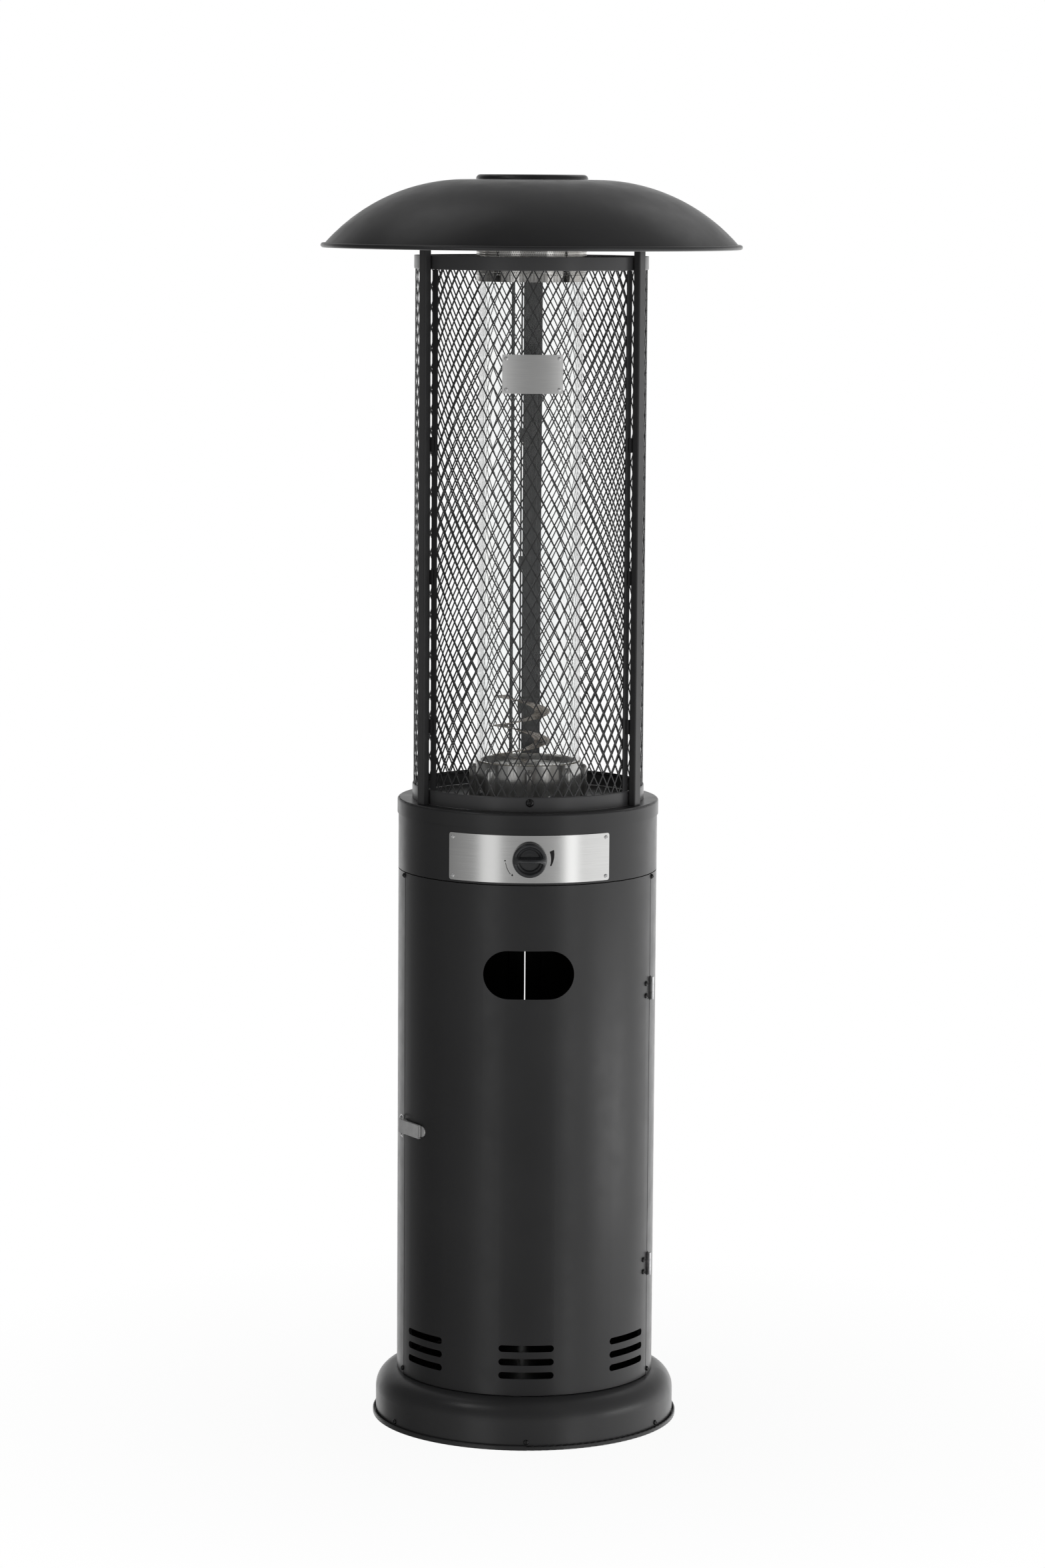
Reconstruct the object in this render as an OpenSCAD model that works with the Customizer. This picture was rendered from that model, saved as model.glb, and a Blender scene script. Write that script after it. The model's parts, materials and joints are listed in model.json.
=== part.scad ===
// Flame column patio heater: a round gas cabinet on a base, a glass flame tube in a mesh guard, and a heat dome.
// Front is -Y, +Z is up, and the origin is the centre of the base's underside. Lengths are in millimetres.

/* [Base] */
// Diameter of the base cover
base_d = 506; // [440:1:560]
// Height of the base, up to the cabinet floor
base_h = 81.2; // [70:1:110]
// Radius of the rounded shoulder of the base cover
base_round = 36; // [20:1:40]
// How far the base plate's rim stands out past the cover
base_lip = 5.2; // [3:0.1:10]
// Height of the base plate's rim
base_lip_h = 8; // [6:0.5:12]
// Sheet thickness of the base cover and plate
base_sheet = 1.5; // [1:0.1:3]

/* [Cabinet] */
// Outside diameter of the cabinet
body_d = 434.8; // [400:1:460]
// Height from the cabinet floor to the deck's top
body_h = 977.8; // [800:1:1100]
// Sheet thickness of the cabinet's panels
sheet = 1.2; // [0.8:0.1:2]
// Height of the control band below the deck's top
band_h = 117.8; // [100:1:160]
// Height of the deck's rim
deck_rim = 25; // [15:1:40]
// How far the deck's rim stands out past the cabinet
deck_lip = 1.9; // [1.6:0.1:5]
// Angle from the front to the door's seams
seam_a = 70.55; // [60:0.05:75]
// Width of the door's seams
seam_gap = 2; // [1:0.1:4]
// Width of the slit between the two rear panels
rear_gap = 1.7; // [0.5:0.1:4]

/* [Door] */
// Width of the door's hand hole
hole_w = 150; // [90:1:200]
// Height of the door's hand hole
hole_h = 80.6; // [50:1:90]
// Height of the hand hole's centre above the cabinet floor
hole_z = 710; // [500:1:760]
// Width of a vent slot
vent_w = 92; // [60:1:100]
// Height of a vent slot
vent_h = 11.4; // [6:0.1:14]
// Distance between vent slots
vent_pitch = 22.8; // [16:0.1:30]
// Angle between the groups of vent slots
vent_a = 52.4; // [40:0.1:54]
// Height of the hinges
hinge_h = 38; // [30:1:60]
// Radius of the hinge barrels
hinge_r = 3.2; // [2.5:0.1:4]
// Height of the upper hinge above the cabinet floor
hinge_top_z = 665; // [560:1:720]
// Height of the lower hinge above the cabinet floor
hinge_low_z = 193; // [120:1:300]
// Height of the latch above the cabinet floor
latch_z = 430; // [350:1:500]
// Length of the latch lever beyond its pivot
lever_l = 64; // [50:1:66]
// Width of the latch lever
lever_w = 22.5; // [18:0.5:26]

/* [Controls] */
// Height of the control panel plate
panel_h = 78.3; // [64:0.1:84]
// Angle from the front to each end of the control panel plate
panel_a = 37; // [28:0.5:45]
// Diameter of the knob
knob_d = 57.4; // [44:0.2:62]
// Depth of the knob
knob_l = 22; // [18:0.5:30]
// How far the knob pushes in
push_travel = 4; // [2:0.5:5]

/* [Guard] */
// Height from the deck to the top of the guard
guard_h = 904; // [600:1:1100]
// Outside diameter of the guard's rings
guard_d = 389; // [360:1:400]
// Height of the lower ring
ring_low_h = 24.3; // [18:0.1:40]
// Height of the upper ring
ring_top_h = 22; // [16:0.1:40]
// Width of a post
post_w = 20; // [14:1:26]
// Depth of a post
post_t = 12; // [10:0.5:14]
// Diamond openings across a guard panel
mesh_cols = 7; // [4:1:8]
// Diamond openings up a guard panel
mesh_rows = 9; // [4:1:10]
// Width of a strand of the mesh
strand_w = 2.4; // [1.6:0.1:4]
// Width of the caution plate's blank
plate_w = 100; // [70:1:120]
// Height of the caution plate's blank
plate_h = 63; // [40:1:80]

/* [Flame] */
// Outside diameter of the glass tube
glass_d = 172; // [150:1:174]
// Wall of the glass tube
glass_t = 5; // [3:0.5:7]
// Outside diameter of the burner pot
pot_d = 180; // [176:1:190]
// Height of the burner pot
pot_h = 62; // [50:1:80]
// Outside diameter of the flame spiral
spiral_d = 95; // [70:1:100]
// Width of the flame spiral's ribbon
spiral_w = 25; // [15:1:30]
// Rise of the flame spiral in one turn
spiral_pitch = 49; // [40:1:60]
// Turns of the flame spiral
spiral_turns = 2.37; // [1:0.01:4]
// Height of the flame screen below the heat shield
screen_h = 71; // [50:1:74]

/* [Dome] */
// Diameter of the dome
dome_d = 699.2; // [600:1:760]
// Height of the dome, from rim to top
dome_h = 113.3; // [105:0.1:125]
// Gap from the guard's top to the dome's rim
dome_gap = 11.7; // [8:0.1:40]
// Radius of the dome's flat middle
dome_flat_r = 108; // [100:1:125]
// Radius of the rolled bead round the rim
dome_bead_r = 4; // [3:0.5:6]
// Diameter of the top cap
cap_d = 185.6; // [170:0.5:200]
// Height of the top cap
cap_h = 8; // [7:0.5:12]

/* [Hidden] */
$fn = 96;

// Shared clearances
seat = 0.3;
over = 1;
shaft_fit = 0.05;
hole_fit = 0.25;

// Main radii and heights
body_r = body_d / 2;
body_in = body_r - sheet;
base_r = base_d / 2;
floor_z = base_h;
deck_z = floor_z + body_h;
deck_r = body_r + deck_lip;
band_z0 = deck_z - band_h;
band_gap = 1.6;
panel_z0 = floor_z + seat;
panel_top = band_z0 - band_gap;
guard_r = guard_d / 2;
guard_top = deck_z + guard_h;
rim_z = guard_top + dome_gap;
dome_top = rim_z + dome_h;

charcoal = [0.2, 0.21, 0.22];
steel = [0.78, 0.78, 0.76];
black = [0.08, 0.08, 0.09];
brass = [0.72, 0.6, 0.32];
copper = [0.75, 0.45, 0.3];
fibre = [0.85, 0.84, 0.8];
glass = [0.75, 0.85, 0.88, 0.4];

// Angle that a length along the surface spans at a radius
function arc_a(l, r) = l / r * 180 / PI;

// Turns its children from the front by an angle, seen from above, positive to the right
module at_angle(a) {
  rotate([0, 0, a]) children();
}

// Part of a tube between two angles from the front
module sector(r_in, r_out, z0, z1, a0, a1) {
  rotate([0, 0, a0 - 90])
    rotate_extrude(angle = a1 - a0)
      translate([r_in, z0]) square([r_out - r_in, z1 - z0]);
}

// A curved sheet between two angles, a hair thinner near its ends: the edges between keep a mesh of it on the curve
end_band = 36;
end_step = 0.05;

module curved_sheet(r_in, r_out, z0, z1, a0, a1) {
  sector(r_in, r_out, z0 + end_band, z1 - end_band, a0, a1);
  sector(r_in + end_step, r_out - end_step, z0, z1, a0, a1);
}

// A tube round the heater's axis
module tube(r_in, r_out, z0, z1) {
  difference() {
    translate([0, 0, z0]) cylinder(r = r_out, h = z1 - z0);
    translate([0, 0, z0 - over]) cylinder(r = r_in, h = z1 - z0 + 2 * over);
  }
}

// A round bar pointing out from the axis at the front, from one radius to another
module spoke(r, r0, r1, z) {
  translate([0, -r0, z]) rotate([90, 0, 0]) cylinder(r = r, h = r1 - r0);
}

// Half outline of a domed screw head, standing on its seat
module button_outline(d, h) {
  ball = (d * d / 4 + h * h) / (2 * h);
  intersection() {
    translate([0, h - ball]) circle(r = ball);
    square([d / 2, h]);
  }
}

// A domed screw pointing out from the axis at the front, its head seated at radius r
module side_screw(r, z, head_d, head_h, shank_r, shank_l) {
  translate([0, -r, z]) rotate([90, 0, 0]) {
    rotate_extrude() button_outline(head_d, head_h);
    translate([0, 0, -shank_l]) cylinder(r = shank_r, h = shank_l);
  }
}

// A rectangle with round corners
module round_rect(w, h, r) {
  translate([-w / 2 + r, -h / 2]) square([w - 2 * r, h]);
  translate([-w / 2, -h / 2 + r]) square([w, h - 2 * r]);
  for (x = [-1, 1], y = [-1, 1]) translate([x * (w / 2 - r), y * (h / 2 - r)]) circle(r = r);
}

// A flat shape pushed out from the axis at the front, its plane facing the viewer
module front_cut(r0, r1, z) {
  translate([0, -r0, z]) rotate([90, 0, 0]) linear_extrude(height = r1 - r0) children();
}

// Base
lip_wall = 2 * base_sheet;
lip_r = base_r + base_lip;
flange_h = 22;
base_screw_d = 9;
base_screw_h = 3;
base_screw_r = 2;
base_screw_z = 13.4;
base_screw_count = 6;

module base_plate() {
  color(charcoal) difference() {
    union() {
      translate([0, 0, 0]) cylinder(r = lip_r - lip_wall / 2, h = base_sheet);
      tube(lip_r - lip_wall, lip_r, lip_wall / 2, base_lip_h - lip_wall / 2);
      for (z = [lip_wall / 2, base_lip_h - lip_wall / 2])
        rotate_extrude() translate([lip_r - lip_wall / 2, z]) circle(r = lip_wall / 2);
      tube(base_r - 2 * base_sheet - seat, base_r - base_sheet - seat, 0, flange_h);
    }
    for (i = [0:base_screw_count - 1])
      at_angle(i * 360 / base_screw_count)
        spoke(base_screw_r + hole_fit, base_r - 4 * base_sheet, base_r, base_screw_z);
  }
}

// Outline of the base cover's outside, closed along the axis
module base_outline(r, h, round) {
  square([r - round, h]);
  square([r, h - round]);
  translate([r - round, h - round]) circle(r = round);
}

module base_shell() {
  color(charcoal) difference() {
    rotate_extrude() difference() {
      intersection() {
        base_outline(base_r, base_h, base_round);
        translate([0, base_sheet + seat]) square([base_r + over, base_h]);
      }
      translate([0, -over]) base_outline(base_r - base_sheet, base_h - base_sheet + over, base_round - base_sheet);
    }
    for (i = [0:base_screw_count - 1])
      at_angle(i * 360 / base_screw_count)
        spoke(base_screw_r + hole_fit, base_r - base_sheet - over, base_r + over, base_screw_z);
  }
}

module base_screws() {
  color(black)
    for (i = [0:base_screw_count - 1])
      at_angle(i * 360 / base_screw_count)
        side_screw(base_r, base_screw_z, base_screw_d, base_screw_h, base_screw_r, 3 * base_sheet);
}

// Cabinet frame: four angle uprights stand on the base and carry the deck
leaf_t = 1.5;
leaf_out = body_in - seat;
leaf_in = leaf_out - leaf_t;
upright_t = 1.5;
upright_out = leaf_in - seat;
upright_in = upright_out - upright_t;
upright_web = 16;
stop_reach = 2.2;
front_upright_a = 8.5;
rear_upright_a0 = 1.4;
rear_upright_a1 = 8;
corner_screw_d = 8.8;
corner_screw_h = 3.4;
corner_screw_r = 2;
corner_screw_in = 5;
corner_screw_top = panel_top - corner_screw_in;
corner_screw_low = panel_z0 + 2 * corner_screw_in;
seam_screw_edge = 3.8;
rear_screw_edge = 10.2;
door_side_a = arc_a(seam_gap / 2, body_r);
seam_screw_a = seam_a + door_side_a + arc_a(seam_screw_edge, body_r);
rear_screw_a = 180 - arc_a(rear_screw_edge, body_r);

function upright_screw(a) = [for (z = [corner_screw_low, corner_screw_top]) [a, z]];
corner_screws = concat(upright_screw(seam_screw_a), upright_screw(rear_screw_a));

module corner_holes(side, r0, r1) {
  for (s = corner_screws)
    at_angle(side * s[0]) spoke(corner_screw_r + hole_fit, r0, r1, s[1]);
}

// Plan of a curved strip between two angles from the front, less than half a turn apart
module arc_plan(r_in, r_out, a0, a1) {
  intersection() {
    difference() {
      circle(r = r_out);
      circle(r = r_in);
    }
    polygon([[0, 0], [2 * r_out * sin(a0), -2 * r_out * cos(a0)], [2 * r_out * sin(a1), -2 * r_out * cos(a1)]]);
  }
}

// An angle bar between two angles, its web at the second
module upright(a0, a1) {
  away = a1 > a0 ? 1 : -1;
  web_a = arc_a(upright_t, upright_in);
  translate([0, 0, floor_z + seat]) linear_extrude(height = deck_z - deck_sheet - floor_z - 2 * seat) {
    arc_plan(upright_in, upright_out, a0, a1);
    rotate([0, 0, a1 - away * web_a])
      translate([-upright_t / 2, upright_t / 2 - upright_out]) square([upright_t, upright_web]);
  }
}

module upright_front(side) {
  color(charcoal) difference() {
    upright(side * (seam_a - stop_reach), side * (seam_a - stop_reach + front_upright_a));
    corner_holes(side, upright_in - over, upright_out + over);
  }
}

module upright_rear(side) {
  color(charcoal) difference() {
    upright(side * (180 - rear_upright_a0), side * (180 - rear_upright_a1));
    corner_holes(side, upright_in - over, upright_out + over);
  }
}

module upright_front_left() { upright_front(-1); }
module upright_front_right() { upright_front(1); }
module upright_rear_left() { upright_rear(-1); }
module upright_rear_right() { upright_rear(1); }

// Rear panels
notch_w = 5;
notch_a = arc_a(notch_w, body_r);
notch_gap = 3;
notch_h = hinge_h + notch_gap;
rear_gap_a = arc_a(rear_gap / 2, body_r);
foot_flange = 8;
flange_in = 0.6;

module rear_panel(side) {
  difference() {
    union() {
      curved_sheet(body_in, body_r, panel_z0, panel_top,
        min(side * (seam_a + door_side_a), side * (180 - rear_gap_a)),
        max(side * (seam_a + door_side_a), side * (180 - rear_gap_a)));
      flange_a0 = seam_a + front_upright_a;
      flange_a1 = 180 - rear_upright_a1 - notch_a;
      for (z = [panel_z0 + flange_in, panel_top - flange_in - sheet])
        sector(body_in - foot_flange, body_in + sheet / 2, z, z + sheet,
          min(side * flange_a0, side * flange_a1), max(side * flange_a0, side * flange_a1));
    }
    corner_holes(side, body_in - over, body_r + over);
  }
}

module rear_panel_left() {
  color(charcoal) rear_panel(-1);
}

module rear_panel_right() {
  color(charcoal) difference() {
    rear_panel(1);
    for (z = [hinge_low_z, hinge_top_z])
      sector(body_in - over, body_r + over, floor_z + z - notch_h / 2, floor_z + z + notch_h / 2,
        seam_a, seam_a + door_side_a + notch_a);
  }
}

panel_seat_r = body_r - end_step;

module panel_screws() {
  color(black)
    for (side = [-1, 1], s = corner_screws)
      at_angle(side * s[0])
        side_screw(panel_seat_r, s[1], corner_screw_d, corner_screw_h, corner_screw_r, panel_seat_r - upright_in + over);
}

// Control band and deck
panel_up = 42.7;
panel_z = band_z0 + panel_up;
window_h = 46;
window_a = 8;
post_angles = [-60, 60, 180];
clip_t = 1.5;
post_out = guard_r + 2 * seat + clip_t + post_t;
post_mid = post_out - post_t / 2;
post_bolt_r = 3;
deck_sheet = 1.5;
deck_round = 4;
deck_hole_r = 52;
panel_screw_d = 6.8;
panel_screw_h = 2.4;
panel_screw_r = 1.5;
panel_screw_in = 7;
panel_screw_a = panel_a - arc_a(panel_screw_in, body_r);
panel_screw_z = panel_h / 2 - panel_screw_in;

module panel_screw_places() {
  for (side = [-1, 1], up = [-1, 1])
    at_angle(side * panel_screw_a) translate([0, 0, panel_z + up * panel_screw_z]) children();
}

module control_band() {
  color(charcoal) difference() {
    tube(body_in, body_r, band_z0, deck_z - deck_sheet - seat);
    sector(body_in - over, body_r + over, panel_z - window_h / 2, panel_z + window_h / 2, -window_a, window_a);
    panel_screw_places() spoke(panel_screw_r + hole_fit, body_in - over, body_r + over, 0);
  }
}

module deck_pan() {
  color(charcoal) difference() {
    rotate_extrude() difference() {
      union() {
        square([deck_r - deck_round, deck_rim]);
        square([deck_r, deck_rim - deck_round]);
        translate([deck_r - deck_round, deck_rim - deck_round]) circle(r = deck_round);
      }
      translate([0, -over]) square([deck_r - deck_sheet, deck_rim - deck_sheet + over]);
    }
    translate([0, 0, -over]) cylinder(r = deck_hole_r, h = deck_rim + 2 * over);
    for (a = post_angles)
      at_angle(a) translate([0, -post_mid, -over]) cylinder(r = post_bolt_r + hole_fit, h = deck_rim + 2 * over);
  }
}

module deck() {
  translate([0, 0, deck_z - deck_rim]) deck_pan();
}

// Control panel plate, valve and knob
panel_t = 1.2;
panel_r0 = body_r + seat;
panel_r1 = panel_r0 + panel_t;
panel_corner = 4;
stem_r = 4;
stem_flat = 2.8;
stem_hole_r = 5.5;

// Corner piece to cut away: everything outside a round corner, drawn with short straight sides
module corner_cut(r) {
  polygon(concat([[over, over], [over, -r]], [for (a = [0:30:90]) [r * cos(a) - r, r * sin(a) - r]], [[-r, over]]));
}

module control_panel() {
  color(steel) difference() {
    sector(panel_r0, panel_r1, panel_z - panel_h / 2, panel_z + panel_h / 2, -panel_a, panel_a);
    for (side = [0, 1], up = [0, 1])
      mirror([side, 0, 0]) at_angle(panel_a)
        front_cut(body_r - over, panel_r1 + over, panel_z) mirror([0, up]) translate([0, panel_h / 2])
          corner_cut(panel_corner);
    spoke(stem_hole_r, panel_r0 - 2 * over, panel_r1 + over, panel_z);
    panel_screw_places() spoke(panel_screw_r + hole_fit, panel_r0 - over, panel_r1 + over, 0);
  }
}

module control_panel_screws() {
  color(steel) panel_screw_places()
    side_screw(panel_r1, 0, panel_screw_d, panel_screw_h, panel_screw_r, panel_r1 - body_in + 2 * over);
}

valve_w = 34;
valve_l = 36;
valve_h = 34;
valve_gap = 8;
valve_front = body_in - valve_gap;
valve_back = valve_front - valve_l;
valve_nose_r = 9;
plug_r = 8;
plug_l = 16;
plug_in = 10;
plug_front = valve_front - plug_in;
plug_gap = 0.2;
inlet_r = 7.9;
inlet_bore = 3.5;
inlet_l = 16;
inlet_x = -9;
inlet_y = (valve_front + valve_back) / 2;
outlet_r = 6;
outlet_l = 10;
bracket_t = 2;
bracket_w = 70;
bracket_h = 30;
bracket_reach = sqrt(body_in * body_in - bracket_w * bracket_w / 4) - seat;

// Round shaft with one flat, along the front axis
module d_shaft(r, flat, y0, y1) {
  difference() {
    spoke(r, y0, y1, panel_z);
    translate([-r - over, -y1 - over, panel_z + flat]) cube([2 * r + 2 * over, y1 - y0 + 2 * over, r]);
  }
}

module valve_body() {
  color(brass) difference() {
    union() {
      translate([-valve_w / 2, -valve_front, panel_z - valve_h / 2]) cube([valve_w, valve_l, valve_h]);
      spoke(valve_nose_r, valve_front - over, panel_r0 - 3 * seat - sheet, panel_z);
      translate([inlet_x, -inlet_y, panel_z - valve_h / 2 - inlet_l]) cylinder(r = inlet_r, h = inlet_l + over);
      translate([0, -inlet_y, panel_z + valve_h / 2 - over]) cylinder(r = outlet_r, h = outlet_l + over);
      translate([-bracket_w / 2, -valve_back - bracket_t, panel_z - bracket_h / 2])
        cube([bracket_w, bracket_t, bracket_h]);
      for (side = [-1, 1])
        translate([side * (bracket_w - bracket_t) / 2 - bracket_t / 2, -bracket_reach, panel_z - bracket_h / 2])
          cube([bracket_t, bracket_reach - valve_back, bracket_h]);
    }
    spoke(stem_r + 2 * shaft_fit, plug_front - plug_l, panel_r1, panel_z);
    spoke(plug_r + shaft_fit, plug_front - plug_l - plug_gap, plug_front + plug_gap, panel_z);
    translate([inlet_x, -inlet_y, panel_z - valve_h / 2 - inlet_l - over]) cylinder(r = inlet_bore, h = inlet_l);
    translate([0, -inlet_y, panel_z + valve_h / 2]) cylinder(r = inlet_bore, h = outlet_l + over);
  }
}

module valve_plug() {
  color(brass) difference() {
    spoke(plug_r, plug_front - plug_l, plug_front, panel_z);
    d_shaft(stem_r + shaft_fit, stem_flat + shaft_fit, plug_front - plug_l - over, plug_front + over);
  }
}

knob_gap = 0.8;
knob_back = panel_r1 + push_travel + knob_gap;
knob_r = knob_d / 2;
knob_skirt = 7;
knob_wall = 3;
knob_recess = 2;
knob_bar_w = 11;
knob_boss_r = 9;
stem_back = plug_front - plug_l + push_travel + over;
stem_front = knob_back + knob_l / 2;

module valve_stem() {
  color(steel) d_shaft(stem_r, stem_flat, stem_back, stem_front);
}

module knob() {
  color(black) difference() {
    union() {
      translate([0, -knob_back, panel_z]) rotate([90, 0, 0]) rotate_extrude() difference() {
        union() {
          square([knob_r - knob_wall / 2, knob_skirt]);
          square([knob_r, knob_skirt - knob_wall / 2]);
          translate([knob_r - knob_wall / 2, knob_skirt - knob_wall / 2]) circle(r = knob_wall / 2);
        }
        translate([0, knob_skirt - knob_recess]) square([knob_r - knob_wall, knob_recess + over]);
      }
      intersection() {
        spoke(knob_r - knob_wall - knob_recess, knob_back, knob_back + knob_l, panel_z);
        translate([0, -knob_back - knob_l + knob_r, panel_z]) rotate([90, 0, 0]) knob_dome();
      }
    }
    d_shaft(stem_r + shaft_fit / 2, stem_flat + shaft_fit / 2, knob_back - over, stem_front + shaft_fit);
  }
}

// Grip bar across the knob, its front edge arched
module knob_dome() {
  intersection() {
    translate([-knob_r, -knob_bar_w / 2, -2 * knob_r]) cube([knob_d, knob_bar_w, 4 * knob_r]);
    rotate([90, 0, 0]) translate([0, -2 * knob_r, -knob_bar_w]) cylinder(r = 3 * knob_r, h = 2 * knob_bar_w);
  }
}

// Pipe from the valve to the jet under the burner tube, and the tilt switch beside it
pipe_r = 4;
pipe_bend = 16;
pipe_rise = 3;
pipe_z = panel_z + valve_h / 2 + outlet_l + seat;
pipe_top = pipe_z + pipe_rise + 2 * pipe_bend;
burner_low = pipe_top + seat;

module gas_pipe() {
  color(copper) {
    translate([0, -inlet_y, pipe_z]) cylinder(r = pipe_r, h = pipe_rise);
    translate([0, pipe_bend - inlet_y, pipe_z + pipe_rise]) rotate([90, 0, -90])
      rotate_extrude(angle = 90) translate([pipe_bend, 0]) circle(r = pipe_r);
    translate([0, pipe_bend - inlet_y, pipe_z + pipe_rise + pipe_bend]) rotate([-90, 0, 0])
      cylinder(r = pipe_r, h = inlet_y - 2 * pipe_bend);
    translate([0, -pipe_bend, pipe_top]) rotate([0, 90, 0])
      rotate_extrude(angle = 90) translate([pipe_bend, 0]) circle(r = pipe_r);
  }
}

tilt_w = 24;
tilt_l = 18;
tilt_h = 40;
tilt_x = 80;
tilt_y = 120;

module tilt_switch() {
  color(black) {
    translate([tilt_x - tilt_w / 2, -tilt_y, deck_z - deck_sheet - seat - tilt_h]) cube([tilt_w, tilt_l, tilt_h]);
  }
}

// Door
door_a = seam_a - door_side_a;
door_lift = 1.2;
door_z0 = panel_z0 + door_lift;
vent_low_z = 35.6;
vent_cols = 3;
vent_rows = 3;
hinge_off = 2.5;
hinge_a = seam_a + arc_a(hinge_off, body_r);
hinge_axis_r = body_r + hinge_r + seat;
hinge_screw_a = 5.4;
hinge_screw_z = 10.35;
hinge_screw_d = 9.6;
hinge_screw_h = 3.4;
hinge_screw_r = 2;
flange_back_a = 4.5;

module door() {
  color(charcoal) difference() {
    union() {
      curved_sheet(body_in, body_r, door_z0, panel_top, -door_a, door_a);
      for (z = [door_z0 + flange_in, panel_top - flange_in - sheet])
        sector(body_in - foot_flange, body_in + sheet / 2, z, z + sheet, flange_back_a - door_a, door_a - flange_back_a);
    }
    front_cut(body_in - hole_h, body_r + over, floor_z + hole_z) {
      square([hole_w - hole_h, hole_h], center = true);
      for (side = [-1, 1]) translate([side * (hole_w - hole_h) / 2, 0]) circle(r = hole_h / 2);
    }
    for (col = [0:vent_cols - 1], row = [0:vent_rows - 1])
      at_angle((col - (vent_cols - 1) / 2) * vent_a)
        front_cut(body_in - vent_w / 2, body_r + over, floor_z + vent_low_z + row * vent_pitch) {
          square([vent_w - vent_h, vent_h], center = true);
          for (side = [-1, 1]) translate([side * (vent_w - vent_h) / 2, 0]) circle(r = vent_h / 2);
        }
    hinge_screw_places() spoke(hinge_screw_r + hole_fit, body_in - over, body_r + over, 0);
  }
}

module hinge_screw_places() {
  for (z = [hinge_low_z, hinge_top_z], up = [-1, 1])
    at_angle(hinge_a - hinge_screw_a) translate([0, 0, floor_z + z + up * hinge_screw_z]) children();
}

module hinge_screws() {
  color(black) hinge_screw_places()
    side_screw(body_r, 0, hinge_screw_d, hinge_screw_h, hinge_screw_r, body_r - leaf_in + over);
}

// Hinges: three knuckles each, the middle one on the door
knuckle_gap = 0.3;
knuckle_h = (hinge_h - 2 * knuckle_gap) / 3;
hinge_pin_r = 1.5;
web_off = 0.4;
leaf_a = 7;

// One leaf: its knuckles between given heights, a web in through the seam and a plate behind the sheet
module leaf(side, spans) {
  difference() {
    union() {
      for (s = spans) {
        at_angle(hinge_a) translate([0, -hinge_axis_r, s[0]]) cylinder(r = hinge_r, h = s[1] - s[0]);
        at_angle(hinge_a)
          translate([side > 0 ? web_off : -web_off - leaf_t, -hinge_axis_r + hinge_pin_r + web_off, s[0]])
            cube([leaf_t, hinge_axis_r - leaf_in - hinge_pin_r - web_off, s[1] - s[0]]);
      }
      web_a = arc_a(web_off + leaf_t / 2, leaf_in);
      sector(leaf_in, leaf_out, -hinge_h / 2, hinge_h / 2,
        side > 0 ? hinge_a + web_a : hinge_a - leaf_a, side > 0 ? hinge_a + leaf_a : hinge_a - web_a);
    }
    at_angle(hinge_a) translate([0, -hinge_axis_r, -hinge_h]) cylinder(r = hinge_pin_r + shaft_fit, h = 2 * hinge_h);
  }
}

module hinge_door_leaves() {
  color(steel) difference() {
    for (z = [hinge_low_z, hinge_top_z])
      translate([0, 0, floor_z + z]) leaf(-1, [[-knuckle_h / 2, knuckle_h / 2]]);
    hinge_screw_places() spoke(hinge_screw_r + hole_fit, leaf_in - over, leaf_out + over, 0);
  }
}

module hinge_body_leaves() {
  step = knuckle_h / 2 + knuckle_gap;
  color(steel)
    for (z = [hinge_low_z, hinge_top_z])
      translate([0, 0, floor_z + z]) leaf(1, [[-hinge_h / 2, -step], [step, hinge_h / 2]]);
}

module hinge_pins() {
  color(steel)
    for (z = [hinge_low_z, hinge_top_z])
      at_angle(hinge_a) translate([0, -hinge_axis_r, floor_z + z - hinge_h / 2]) cylinder(r = hinge_pin_r, h = hinge_h);
}

// Latch. Its own frame: x runs along the door towards the front, y points out, z is up, at the door's left edge
latch_in_a = 1.15;
latch_a = latch_in_a - seam_a;
latch_pivot_y = 5.5;
latch_tilt = 10;
latch_t = 1.2;
ear_in = 8;
pin_r = 1.5;
latch_base_w = 18;
wire_r = 1.2;
bail_bend_r = 1.26;
bail_arm = 8;
bail_far = 20;
bail_bar_y = 2.1;
bail_out = 18;
bail_neck = 10.5;
lever_y = 4.2;
flange_y = 0.8;
lever_nose = 4;
lever_start = 2;
ear_half_w = 3;
ear_r = 3.5;

bail_slope = (latch_pivot_y - bail_bar_y) / bail_far;
bail_x = bail_arm / sqrt(1 + bail_slope * bail_slope);
bail_y = bail_x * bail_slope;

module at_latch() {
  rotate([0, 0, latch_a]) translate([0, -body_r, floor_z + latch_z]) mirror([0, 1, 0]) children();
}

// A strip lying on the cabinet's surface, cut from a tube to the shape of its children
module on_surface(r0, r1) {
  intersection() {
    tube(r0, r1, floor_z + latch_z - lever_l, floor_z + latch_z + lever_l);
    rotate([0, 0, latch_a]) translate([0, -body_r / 2, floor_z + latch_z]) rotate([90, 0, 0])
      linear_extrude(height = body_r) children();
  }
}

module latch_base() {
  skin = seat + latch_t;
  color(steel) difference() {
    union() {
      on_surface(body_r + seat, body_r + skin) {
        translate([-lever_nose, -latch_base_w / 2]) square([lever_l - lever_nose, latch_base_w]);
        translate([lever_l - lever_nose - over, 0]) circle(r = latch_base_w / 2);
      }
      for (up = [-1, 1])
        at_latch() translate([0, 0, up * (ear_in + latch_t / 2) - latch_t / 2]) {
          translate([-ear_half_w, seat + latch_t / 2]) cube([2 * ear_half_w, latch_pivot_y - skin / 2, latch_t]);
          translate([0, latch_pivot_y, 0]) cylinder(r = ear_r, h = latch_t);
        }
    }
    at_latch() translate([0, latch_pivot_y, -lever_w]) cylinder(r = pin_r + shaft_fit / 2, h = 2 * lever_w);
  }
}

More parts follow.
